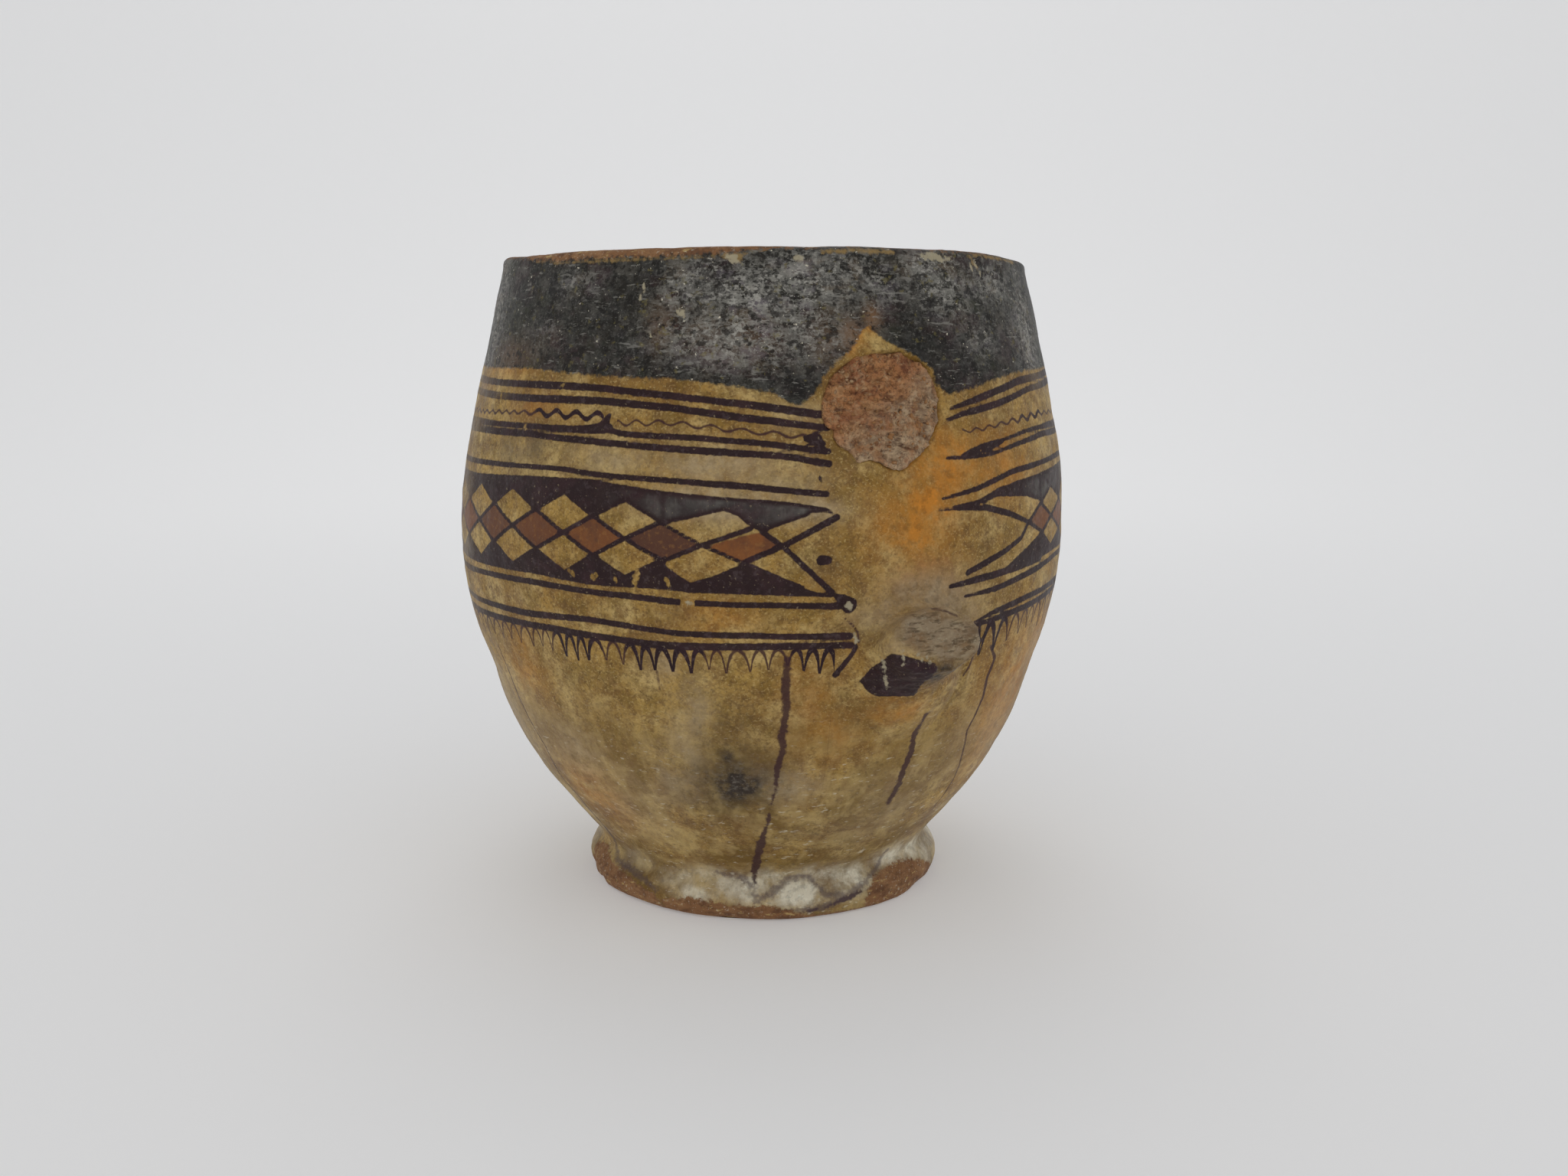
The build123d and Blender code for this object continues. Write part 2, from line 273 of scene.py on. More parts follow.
SCALLOPS = (
    ((-79, 16, 1.2), (-81, 11.4, 1.5), (-76.6, 9, 1.8), (-69, 8.8, 1.6), (-60.6, 7.5, 1.4),
     (-54.4, 5.7, 1.0)),
    ((-35.1, 12.5, 1.0), (-28.3, 12.3, 1.4), (-22.9, 9.2, 1.3), (-22.1, 6.2, 1.6)),
    ((-22.1, 6.2, 1.4), (-16.4, 8.3, 1.6), (-12.3, 11.2, 1.5), (-5.5, 11.3, 1.3), (-1.1, 6.7, 1.4),
     (5.4, 5.6, 1.8)),
    ((-14, 2.8, 1.4), (-2, 3.2, 2.0), (5.2, 5.1, 2.0), (13.4, 7.7, 1.5), (20.4, 10.5, 1.2),
     (23.1, 15.2, 0.9)),
)

# Outlines of the dark leaf, the stump's broken end, the upper break and the patches of bare clay
LEAF = (
    (-3.4, 74.3), (-2.4, 76), (-1.5, 77.7), (0.5, 79.7), (1.9, 81.4), (3.6, 80.7), (6.7, 78.9), (8.8, 77.9),
    (9.2, 76.4), (8.6, 74.6), (7.6, 73.2), (7.3, 71.9), (7.2, 70), (6.6, 69.4), (3.2, 69.4),
    (0.5, 69.9), (-1.6, 71.6), (-2.2, 72.5))
NUB = (
    (3.3, 83), (2.5, 84), (2.7, 86.6), (3.1, 89.6), (4.3, 91.2), (6.5, 91.7), (8.8, 91.5), (11.8, 89.1),
    (14.9, 87.7), (17.9, 86), (19.5, 83.9), (20.3, 81.9), (20.1, 78.7), (18.7, 77.2), (15.9, 76.8),
    (12.7, 76.9), (9.7, 77.7), (6.6, 79.8))
SCAR = (
    (1.2, 154.8), (4.4, 155), (7.1, 153.3), (10, 150.7), (11.3, 148.2), (11.8, 144.8), (11.5, 140.2),
    (10.9, 137.4), (10, 134.6), (8.2, 131.3), (5.5, 128.1), (2.8, 126.2), (1, 126.9), (-0.8, 128.2),
    (-2.4, 128.7), (-4.7, 128.1), (-5.6, 130.2), (-7.8, 132.4), (-8.5, 134.1), (-8.6, 136),
    (-10, 137.4), (-10.7, 139.6), (-10.7, 141.8), (-10.4, 144.5), (-9.6, 146.7), (-9.1, 148.6),
    (-7.6, 150.8), (-5.9, 152.5), (-3.2, 154), (-1, 154.7))
SCAR_CENTRE = (0.6, 140.6)
BARE_PATCHES = (
    ((-104, 2), (-98.4, 4.5), (-96.7, 8.9), (-88, 10.4), (-79.1, 8.2), (-66.6, 7), (-56, 4.4), (-52.4, 1.6),
     (-60, -3), (-90, -3)),
    ((-53, 3.4), (-43, 5.8), (-33.7, 5.2), (-23.8, 4.8), (-16.3, 4.6), (-8.2, 2.2), (-4, 0.6), (-6, -4),
     (-50, -4)),
    ((11.9, 2.6), (13.6, 6), (17, 8.6), (24.3, 9.9), (33, 9.6), (40, 7.8), (48.4, 5), (52, 2), (46, -3),
     (14, -3)),
    ((95, 0), (98, 6), (112, 8.5), (125, 5), (131, 0), (115, -4)),
    ((170, 0), (175, 5), (190, 7), (204, 4), (210, -2), (186, -4)),
)

# Flakes of pale slip and scratches down to it: places and widths, as strokes
FLAKES = (
    ((-26.9, 177.4, 1.5), (-25.9, 176.8, 2.2), (-25.3, 176.2, 1.0)),
    ((-14.2, 177, 1.4), (-13.4, 176.7, 1.0)),
    ((-35.4, 164.5, 1.2), (-34.8, 163.9, 1.6), (-34.3, 163.5, 0.9)),
    ((-43, 168.6, 0.6), (-42.9, 167.5, 0.4)), ((-42.6, 171.2, 0.5), (-42.4, 169.6, 0.6)),
    ((-40.5, 159.4, 0.8), (-40.2, 158.4, 0.6)), ((12.6, 178.5, 1.4), (14, 178.1, 2.0), (16, 177.6, 1.4)),
    ((25.8, 177, 1.0), (26.2, 175.8, 0.7)), ((16.8, 177.6, 0.9), (18.8, 177.8, 0.6)),
    ((11, 178.4, 0.8), (11.9, 177.2, 0.5)), ((24, 176.8, 0.7), (24.5, 174.4, 0.5)),
    ((27, 175, 0.5), (27, 173.8, 0.5)), ((-6.3, 94.2, 1.8), (-5.9, 93.9, 1.5)),
    ((-31.9, 95.1, 1.0), (-31.4, 95.1, 0.9)), ((-5, 86.9, 0.6), (-4.6, 85, 0.8)),
    ((3.5, 81.4, 0.6), (4.0, 78.4, 0.4)), ((0.4, 79.6, 0.7), (1.1, 76, 0.6), (1.8, 72.3, 0.4)),
    ((6, 80.6, 0.6), (6.6, 79, 0.4)), ((7.5, 79.7, 0.6), (7.9, 78.2, 0.4)),
    ((130, 170, 1.6), (131, 169.6, 1.0)), ((-120, 166, 1.4), (-119, 165.6, 1.0)),
    ((175, 161, 1.2), (176, 160.6, 0.8)),
)

# Tan slip that shows through the black of the lip, as strokes
LIP_MARKS = (
    ((-9.5, 178.4, 0.6), (-3.6, 178.9, 1.0), (4.6, 178.8, 0.7)),
    ((24, 178.6, 1.0), (25.2, 177.2, 1.2), (26.4, 175.8, 0.8)),
    ((25.8, 179.1, 0.6), (33, 178.9, 0.8), (44, 178.8, 0.7)), ((-27.5, 177.6, 1.4), (-25, 177, 1.8)),
    ((150, 178.6, 0.8), (166, 178.9, 1.2), (178, 178.6, 0.7)),
)

# Places where the dark paint has flaked off, with their size
CHIPS = (
    (-53.4, 101.2, 1.1), (-52.7, 100.6, 1.4), (-48.6, 100.2, 1.5), (-47.9, 101, 0.9),
    (-44.3, 100.1, 1.2), (-40.6, 101, 1.6), (-40.2, 102.2, 1.2), (-40.9, 99.6, 1.2), (-35.4, 100.6, 1.3),
    (-35.1, 99.5, 0.9), (-38.8, 115.9, 0.7), (-39.4, 115.6, 0.8), (-66, 136.2, 0.9), (20, 130.2, 0.5),
    (-58, 147, 0.7), (-57.5, 146.8, 0.7), (-77, 143.6, 1.0),
)

# Soft clouds of colour: angle, height, half width, half height in millimetres, and strength
# Smoke stains of the fire, and a painted shadow under the stump at the right end of the dark leaf
SMOKE_AND_SHADE = (
    (-25.4, 46.2, 11, 8.5, 0.75), (-25.4, 45.2, 8, 5.2, 1.2), (-21.6, 44.5, 4.5, 3.4, 0.7),
    (-29, 43.6, 5.5, 4.6, 0.75), (-27, 53.5, 2.8, 3.2, 0.8), (-27, 45, 14, 11, 0.45),
    (-31.5, 58, 3, 8, 0.3), (-20, 22, 16, 8, 0.12), (-18, 60, 18, 12, 0.12), (-8, 28, 20, 12, 0.14),
    (-25.5, 62, 5, 8, 0.3), (148, 52, 12, 14, 0.8), (-128, 30, 9, 8, 0.5), (10.4, 76, 4.6, 1.5, 1.1),
    (9.2, 74, 3, 1.6, 0.9), (-62, 131, 4, 6, 0.45), (-70, 130, 5, 5, 0.45), (60, 26, 18, 8, 0.25),
    (-9, 104, 5, 3, 0.2), (-34, 92, 5, 3, 0.3),
)
# Pale ash on the slip, and a painted sheen where the shoulder and the top of the frieze face up
ASH_AND_SHEEN_CLOUDS = (
    (-27, 119.5, 15, 4, 1.0), (-13, 117.5, 8, 3, 1.0), (40, 119, 8, 3, 0.7), (78, 121, 20, 5, 0.9),
    (150, 120, 22, 5, 0.8), (-142, 120, 22, 5, 0.8), (-46, 129, 14, 4, 0.5), (-28, 128, 13, 4, 0.7),
    (-16, 125, 8, 5, 0.5), (-66, 130, 9, 5, 0.3), (-14, 140, 8, 3, 0.4), (-32.3, 66, 4, 9, 0.65),
    (-34.6, 56, 4, 9, 0.65), (-38, 47, 7, 7, 0.6), (-15, 45, 7, 4, 0.9), (-20.5, 47.5, 2.5, 3, 0.7),
    (-42, 40, 8, 6, 0.4), (-62, 50, 10, 8, 0.6), (24, 50, 9, 9, 0.35), (-86, 54, 12, 11, 0.55),
    (-74, 53, 9, 9, 0.4), (37, 52, 10, 10, 0.4), (47, 74, 8, 6, 0.4), (-50, 38, 12, 12, 0.35),
    (10, 36, 12, 12, 0.4), (-36.5, 78, 4, 4, 0.55), (110, 60, 14, 12, 0.4), (-165, 48, 12, 10, 0.4),
)
FLUSHES = (
    (-26, 157, 9, 4, 0.7), (-5.2, 159, 2.6, 3.4, 1.3), (-0.8, 163, 2, 2.6, 1.3), (-76, 154, 12, 4, 0.6),
    (-38.5, 161, 3, 5, 0.6), (-10, 158, 4, 5, 0.5), (8, 120, 7, 9, 1.0), (13, 128, 7, 7, 0.9),
    (5, 112, 9, 9, 0.75), (6, 102, 9, 7, 0.55), (24, 126, 14, 8, 0.5), (-8, 60, 8, 7, 0.3),
    (-12, 70, 6, 8, 0.3), (38, 60, 12, 18, 0.55), (46, 75, 9, 8, 0.5), (-62, 36, 9, 9, 0.45),
    (-70, 72, 7, 8, 0.35), (90, 110, 16, 12, 0.4), (-150, 112, 14, 10, 0.4), (5, 65, 6, 3, 0.5),
    (-28, 91, 9, 4, 0.35), (-64, 141, 8, 3, 0.4),
)
# Pale grey on the top of the stump and on the wall just above it
PALE_GREY_PATCHES = (
    (7, 96, 10, 5, 1.0), (12, 93, 7, 5, 0.9), (1.5, 93, 6, 5, 0.8), (-3, 91, 4, 3, 0.5),
    (2.5, 86, 3.5, 5, 0.7), (17, 90, 5, 4, 0.5),
)
# Scuffs that rub the black thin, partly a painted sheen near the pot's left and right edges
RUBS_AND_SHEEN = (
    (-34.8, 170.5, 5, 5, 0.8), (-29.9, 174.4, 6, 3, 0.7), (-21, 168, 13, 7, 1.0), (-13, 171, 9, 7, 1.0),
    (-6, 173, 8, 5, 0.8), (0, 171, 6, 5, 0.6), (-24.7, 158, 14, 5.5, 0.95), (-13, 160, 7, 6, 0.75),
    (12.5, 175.5, 8, 3, 0.9), (15.7, 170, 7, 5, 0.8), (30, 172, 8, 4, 0.7), (24, 158, 6, 4, 0.4),
    (43, 160, 6, 11, 0.9), (-92, 166, 9, 12, 0.8), (-58, 172, 6, 3, 0.4), (-64, 160, 5, 3, 0.25),
    (72, 164, 16, 8, 0.7), (105, 172, 14, 5, 0.6), (140, 160, 18, 8, 0.8), (175, 170, 16, 6, 0.7),
    (-150, 158, 16, 7, 0.6), (-122, 168, 14, 7, 0.8), (-93, 140, 11, 16, 0.9), (-93, 112, 10, 16, 0.9),
    (-90, 92, 9, 8, 0.6), (-77, 144, 4, 2, 0.5), (60, 112, 10, 20, 0.5),
)
CREAMS = (
    (-30, 9, 6, 2.6, 0.8), (-24, 9, 5, 3.0, 1.1), (-9, 7.6, 8, 3.0, 1.1), (8, 9, 6, 3.4, 1.1),
    (0, 11.5, 8, 2.6, 0.8), (37.9, 11.5, 7, 3.0, 1.0), (27, 13, 7, 3.0, 0.9), (47, 8.5, 4, 4, 0.7),
    (-42, 7, 5, 2, 0.7), (-48, 9.6, 6, 2.2, 0.45), (-17, 12, 6, 2.4, 0.6), (-38, 12, 5, 2.4, 0.5),
    (-66, 12, 7, 3, 0.2), (70, 9, 14, 4.0, 0.8), (110, 11, 12, 4.0, 0.6), (160, 9, 14, 4.5, 0.9),
    (-150, 10, 14, 4.0, 0.8), (-115, 10, 10, 4.0, 0.4),
)


def linear(code):
    """Linear colour of an sRGB hex code."""
    parts = [int(code[i:i + 2], 16) / 255 for i in (1, 3, 5)]
    return tuple(p / 12.92 if p <= 0.04045 else ((p + 0.055) / 1.055) ** 2.4 for p in parts) + (1.0,)


def add(tree, kind, inputs=None, **settings):
    """Adds a node with its settings; an input is a value, a socket or a node, whose first output it takes."""
    node = tree.nodes.new(kind)
    for name, value in settings.items():
        setattr(node, name, value)
    for key, value in (inputs or {}).items():
        if isinstance(value, bpy.types.Node):
            value = next(socket for socket in value.outputs if socket.enabled)
        if isinstance(value, bpy.types.NodeSocket):
            tree.links.new(value, node.inputs[key])
        else:
            node.inputs[key].default_value = value
    return node


def smooth_line(stations, start=None, end=None):
    """Function from height to radius, smooth through stations; start and end are its end slopes, or free."""
    radius, height = np.array(stations, float).T
    step = np.diff(height)
    rise = np.diff(radius) / step
    size = len(radius)
    grid, want = np.zeros((size, size)), np.zeros(size)
    for i in range(1, size - 1):
        grid[i, i - 1:i + 2] = step[i - 1], 2 * (step[i - 1] + step[i]), step[i]
        want[i] = 6 * (rise[i] - rise[i - 1])
    grid[0, 0] = grid[-1, -1] = 1
    if start is not None:
        grid[0, :2] = 2 * step[0], step[0]
        want[0] = 6 * (rise[0] - start)
    if end is not None:
        grid[-1, -2:] = step[-1], 2 * step[-1]
        want[-1] = 6 * (end - rise[-1])
    bend = np.linalg.solve(grid, want)

    def at(z):
        """Radius at a height."""
        i = np.clip(np.searchsorted(height, z) - 1, 0, size - 2)
        low, high = height[i + 1] - z, z - height[i]
        curve = (bend[i] * low**3 + bend[i + 1] * high**3) / (6 * step[i])
        below = (radius[i] / step[i] - bend[i] * step[i] / 6) * low
        above = (radius[i + 1] / step[i] - bend[i + 1] * step[i] / 6) * high
        return curve + below + above

    return at


outside_line = smooth_line(
    (
        (WAIST_RADIUS, WAIST_HEIGHT), (HIP_RADIUS, WAIST_HEIGHT + HIP_RISE), (FLANK_RADIUS, FLANK_HEIGHT),
        (BELLY_RADIUS, BELLY_HEIGHT), (SHOULDER_RADIUS, BELLY_HEIGHT + SHOULDER_RISE),
        (NECK_RADIUS, NECK_HEIGHT), (RIM_RADIUS, POT_HEIGHT - LIP_ROUNDING),
    ),
    math.tan(math.radians(WAIST_LEAN)), math.tan(math.radians(RIM_LEAN)))
inside_line = smooth_line((
    (WAIST_RADIUS - SOLE_THICKNESS, WAIST_HEIGHT), (HIP_RADIUS - HIP_THICKNESS, WAIST_HEIGHT + HIP_RISE),
    (FLANK_RADIUS - WALL_THICKNESS, FLANK_HEIGHT), (BELLY_RADIUS - WALL_THICKNESS, BELLY_HEIGHT),
    (SHOULDER_RADIUS - WALL_THICKNESS, BELLY_HEIGHT + SHOULDER_RISE),
    (RIM_RADIUS - LIP_THICKNESS, POT_HEIGHT - LIP_ROUNDING)))
foot_line = np.polyfit((0, FOOT_BULGE, WAIST_HEIGHT), (FOOT_CONTACT, FOOT_RADIUS, WAIST_RADIUS), 2)


def outer_radius(z):
    """Radius of the outside in millimetres: the wall and the foot coil, luted smoothly together."""
    wall = outside_line(np.maximum(z, WAIST_HEIGHT))
    wall = wall + np.minimum(z - WAIST_HEIGHT, 0) * math.tan(math.radians(WAIST_LEAN))
    foot = np.polyval(foot_line, np.minimum(z, 2 * WAIST_HEIGHT))
    return (wall + foot + np.hypot(wall - foot, WAIST_FILLET)) / 2


def smooth_step(low, high, value):
    """Eased rise from 0 at low to 1 at high."""
    share = np.clip((value - low) / (high - low), 0, 1)
    return share * share * (3 - 2 * share)


def waver(turn, seed, size=1.0):
    """Slow unsteadiness of a hand round the pot, about one times size each way."""
    random = np.random.RandomState(seed)
    waves = range(2, 12)
    return size * sum(np.sin(np.radians(turn) * k + random.uniform(0, 6.28)) / k**0.5 for k in waves) / 2.2


def apart(phi, angle):
    """Degrees from an angle, the short way round."""
    return (phi - angle + 180) % 360 - 180


def drawn(left, right, step=0.5):
    """Steady line drawn from the right of the handle round the back to its left: angles and heights."""
    places = sorted([(angle - 360, height) for angle, height in right] + list(left))
    angles, heights = np.array(places).T
    turn = np.arange(angles[0], angles[-1] + step, step)
    level = np.interp(turn, angles, heights)
    brush = np.hanning(13)
    brush /= brush.sum()
    return turn, np.convolve(np.pad(level, 6, mode="edge"), brush, mode="valid")


def from_line(turn, z, track, width):
    """Distance outside a painted line, less than nothing on it."""
    angles, heights = track
    scale = ARC * BELLY_RADIUS
    slope = np.interp(turn, angles, np.gradient(heights, angles)) / scale
    past = np.maximum(0, np.maximum(angles[0] - turn, turn - angles[-1])) * scale
    return np.hypot((z - np.interp(turn, angles, heights)) / np.hypot(1, slope), past) - width / 2


def flat_near(phi, z, places, reach=5.0):
    """Points near some places, laid flat round their middle: which they are, the points, and the places."""
    places = np.array(places, float)
    middle = (places[:, 0].min() + places[:, 0].max()) / 2
    turn = apart(phi, middle)
    span = np.ptp(places[:, 0]) / 2 + reach / (ARC * LEAST_RADIUS)
    near = (np.abs(turn) < span) & (z > places[:, 1].min() - reach) & (z < places[:, 1].max() + reach)
    spots = np.stack((turn[near] * ARC * outer_radius(z[near]), z[near]), -1)
    marks = np.stack(((places[:, 0] - middle) * ARC * outer_radius(places[:, 1]), places[:, 1]), -1)
    return near, spots, marks


def from_segment(spots, start, end):
    """Distance of flat points from a segment, and how far along it they are, from 0 to 1."""
    run = end - start
    share = np.clip((spots - start) @ run / max(run @ run, 1e-9), 0, 1)
    return np.hypot(*(spots - start - share[:, None] * run).T), share


def brush_stroke(field, phi, z, stroke):
    """Lowers a field of distances near a stroke of places and widths."""
    near, spots, marks = flat_near(phi, z, stroke)
    if near.any():
        nearest = field[near]
        for i in range(len(marks) - 1):
            gap, share = from_segment(spots, marks[i], marks[i + 1])
            width = stroke[i][2] + share * (stroke[i + 1][2] - stroke[i][2])
            nearest = np.minimum(nearest, gap - width / 2)
        field[near] = nearest


def filled_outline(field, phi, z, outline, reach=5.0):
    """Lowers a field of distances over an outline, and says which points were near it."""
    near, spots, marks = flat_near(phi, z, outline, reach)
    gap = np.full(len(spots), FAR)
    inside = np.zeros(len(spots), bool)
    for start, end in zip(marks, np.roll(marks, -1, 0)):
        gap = np.minimum(gap, from_segment(spots, start, end)[0])
        crosses = (start[1] > spots[:, 1]) != (end[1] > spots[:, 1])
        level = end[1] - start[1] if end[1] != start[1] else 1e-9
        inside ^= crosses & (spots[:, 0] < (end[0] - start[0]) * (spots[:, 1] - start[1]) / level + start[0])
    field[near] = np.minimum(field[near], np.where(inside, -gap, gap))
    return near


def clouds(phi, z, spots):
    """Soft clouds of colour, from 0 to 1."""
    total = np.zeros(phi.shape)
    for angle, height, wide, high, strength in spots:
        across = apart(phi, angle) * ARC * outer_radius(height) / wide
        total = np.maximum(total, strength * np.exp(-(across**2 + ((z - height) / high) ** 2) / 1.4))
    return total


def lattice(turn, z, black, red, tone):
    """Paints the lozenge frieze: a dark ground and border lines, and a middle row of red lozenges."""
    random = np.random.RandomState(11)
    back = np.linspace(CROSSINGS[1], CROSSINGS[2], 20)[1:-1] + random.uniform(-0.7, 0.7, 18)
    crossings = np.array(CROSSINGS[:2] + tuple(back) + CROSSINGS[2:])
    column = np.interp(turn, crossings, np.arange(len(crossings)))
    middle = LOZENGE_LEVEL - LOZENGE_DIP * np.exp(-(turn / DIP_SPAN) ** 2 / 2) + waver(turn, 5, 0.25)
    rise = 2 * np.interp(turn, *np.array(LOZENGE_RISE).T)
    lean = (z - middle) / rise
    a, b = column - lean, column + lean
    row = np.floor(b) - np.floor(a)
    steep = np.hypot(1 / (ARC * BELLY_RADIUS * LOZENGE_WIDTH), 1 / rise)
    from_border = np.minimum(np.abs(a - np.round(a)), np.abs(b - np.round(b))) / steep
    border = BORDER_WIDTH + waver(turn, 6, 0.12)
    dark = np.where(np.abs(row) <= 1, from_border, -from_border) - border / 2
    top = drawn(*FRIEZE_TOP)
    bottom = drawn(*FRIEZE_BOTTOM)
    beyond = np.maximum(LATTICE_ENDS[0] - turn, turn - LATTICE_ENDS[1]) * ARC * BELLY_RADIUS
    beyond = np.maximum(beyond, np.maximum(z - np.interp(turn, *top), np.interp(turn, *bottom) - z))
    black[:] = np.minimum(black, np.maximum(dark, beyond))
    red[:] = np.minimum(red, np.maximum(np.where(row == 0, -from_border, from_border), beyond))
    shades = random.uniform(0.25, 0.85, len(crossings) + 1)
    shades[-7:-2] = LAST_TONES
    tone[:] = shades[np.clip(np.floor(column).astype(int), 0, len(shades) - 1)]


def fringe(turn, z):
    """Small arches that hang from the eighth line: arches along, share of one up, half a line's width."""
    random = np.random.RandomState(21)
    behind = np.arange(*FRINGE_BACK, -ARCH_WIDTH)
    behind = behind + random.uniform(-0.5, 0.5, len(behind))
    tips = [(a if a < 0 else a - 360, h) for a, h in FRINGE_TIPS]
    tips += [(a, ARCH_LEVEL + random.uniform(-1, 1) + 1.6 * smooth_step(-280, -310, a)) for a in behind]
    angles, feet = np.array(sorted(tips)).T
    heavy = [any(start < apart(angle, 0) < end for start, end in HEAVY_FRINGE) for angle in angles]
    half = np.where(heavy, HEAVY_ARCH, THIN_ARCH) + random.uniform(-0.03, 0.05, len(angles))
    top = np.interp(turn, *drawn(*LINES["eighth"][:2])) - 0.9
    foot = np.interp(turn, angles, feet)
    up = np.where((turn < angles[0]) | (turn > angles[-1]), 9.0, (z - foot) / (top - foot))
    return np.interp(turn, angles, np.arange(len(angles))), up, np.interp(turn, angles, half)


def proud_side(theta):
    """How much of the slip's torn edge stands proud round the upper break, most at the upper left."""
    return np.clip(0.35 + 0.75 * np.cos(theta - math.radians(125)), 0, 1)


def scar_distance(phi, z):
    """Distance outside the break of the upper handle root."""
    field = np.full(phi.shape, FAR)
    filled_outline(field, phi, z, SCAR, 8.0)
    return field


def brush_lines(turn, z):
    """Distance outside the painted lines round the pot."""
    black = np.full(turn.shape, FAR)
    for i, (left, right, width, taper) in enumerate(LINES.values()):
        angles, heights = drawn(left, right)
        heights = heights + waver(angles, 40 + i, 0.14)
        thinned = 0.5 + 0.5 * smooth_step(angles[0] - 1, angles[0] + taper, turn)
        uneven = (width + waver(turn * 1.7, 60 + i, 0.22)) * thinned
        black = np.minimum(black, from_line(turn, z, (angles, heights), uneven))
    start, end, level, reach = SIXTH_GAP
    broken = (turn > start) & (turn < end) & (np.abs(z - level) < reach)
    return np.where(broken, np.maximum(black, 0.3), black)


def wavy_line(turn, z):
    """Fields of the wavy line: its phase in radians, how many swings up, its swing and half its width."""
    step = 0.1
    turns, level = drawn(*WAVE, step=step)
    bold = np.zeros(turns.shape)
    for rise, full, fall, end, strength in BOLD_WAVES:
        bold = np.maximum(bold, strength * smooth_step(rise, full, turns) * smooth_step(end, fall, turns))
    phase = np.cumsum(step / np.interp(turns, *np.array(WAVE_PERIODS).T)) + waver(turns, 31, 0.12)
    swing = WAVE_SWING + BOLD_SWING * bold + 0.14 * smooth_step(-46, -44, turns) + waver(turns * 3, 32, 0.08)
    half = WAVE_HALF + BOLD_HALF * bold + waver(turns * 2, 33, 0.05)
    swing_here = np.interp(turn, turns, swing)
    up = (z - np.interp(turn, turns, level)) / swing_here
    lifted = (turn < turns[0]) | (turn > turns[-1]) | ((turn > WAVE_GAP[0]) & (turn < WAVE_GAP[1]))
    return {
        "wave_turn": np.interp(turn, turns, 2 * math.pi * phase), "wave_up": np.where(lifted, 40.0, up),
        "wave_swing": swing_here, "wave_half": np.interp(turn, turns, half)}


def neck_distance(phi, z):
    """Distance below the edge of the black neck."""
    angles, heights = np.array(sorted((a % 360, h) for a, h in NECK_EDGE)).T
    grid = np.arange(0, 360, 0.25)
    edge = np.interp(grid, angles, heights, period=360) + waver(grid, 3, 0.2)
    slope = np.gradient(edge, grid) / (ARC * NECK_RADIUS)
    spread = np.hypot(1, np.interp(phi, grid, slope, period=360))
    return (np.interp(phi, grid, edge, period=360) - z) / spread


def worn_edges(phi, z):
    """Distances outside the clay laid bare on the foot and the lip, and outside the tan slip of the lip."""
    bare = np.full(phi.shape, FAR)
    for outline in BARE_PATCHES:
        filled_outline(bare, phi, z, outline)
    bare = np.minimum(bare, z - 1.4 - waver(phi, 8, 1.0))
    left_lip = smooth_step(-82, -62, phi) * smooth_step(-14, -34, phi)
    worn_lip = WORN_LIP - LEFT_LIP_WEAR * left_lip + waver(phi, 9, 0.3)
    bare = np.minimum(bare, worn_lip - z)
    lip = np.abs(worn_lip - 0.5 - z) - 0.62 * left_lip - waver(phi * 2, 10, 0.15) + 0.32
    for stroke in LIP_MARKS:
        brush_stroke(lip, phi, z, stroke)
    return bare, lip


def paint(phi, z):
    """Fields of the painted and worn outside at angles and heights, as attributes for the slip material.

    Distances are millimetres outside a mark's edge, and clouds run from 0 to 1.
    """
    turn = np.where(phi > 2, phi - 360, phi)
    blank = np.full(phi.shape, FAR)
    red, brown, drip, scallop, flake, chip = (blank.copy() for _ in range(6))
    black = brush_lines(turn, z)
    tone = np.zeros(phi.shape)
    lattice(turn, z, black, red, tone)
    for outline in DARK_GROUNDS + (LEAF,):
        filled_outline(black, phi, z, outline)
    for outline, shade in RED_ENDS:
        near = filled_outline(red, phi, z, outline, 0.2)
        tone[near] = shade
    for field, strokes in (
        (black, STROKES), (brown, THIN_DROPS), (drip, DRIPS), (scallop, SCALLOPS), (flake, FLAKES),
    ):
        for stroke in strokes:
            brush_stroke(field, phi, z, stroke)
    for angle, height, size in CHIPS:
        brush_stroke(chip, phi, z, ((angle, height, size), (angle + 0.3, height - 0.6, size * 0.7)))
    arch_along, arch_up, arch_half = fringe(turn, z)
    bare, lip = worn_edges(phi, z)
    fields = {
        "black": np.maximum(black, -chip), "red": red, "tone": tone, "brown": brown, "drip": drip,
        "scallop": scallop, "neck": neck_distance(phi, z), "lip": lip, "flake": flake, "bare": bare,
        "arch_along": arch_along, "arch_up": arch_up, "arch_half": arch_half,
    }
    fields.update(wavy_line(turn, z))
    # Clouds of colour: the smoke clouds carry a painted shadow under the stump, the ash clouds and the scuffs
    # partly a painted sheen
    for name, spots in (
        ("rub_and_sheen", RUBS_AND_SHEEN), ("cream", CREAMS), ("stain", SMOKE_AND_SHADE), ("ash_and_sheen", ASH_AND_SHEEN_CLOUDS), ("flush", FLUSHES),
        ("worn", PALE_GREY_PATCHES),
    ):
        fields[name] = clouds(phi, z, spots)
    return fields


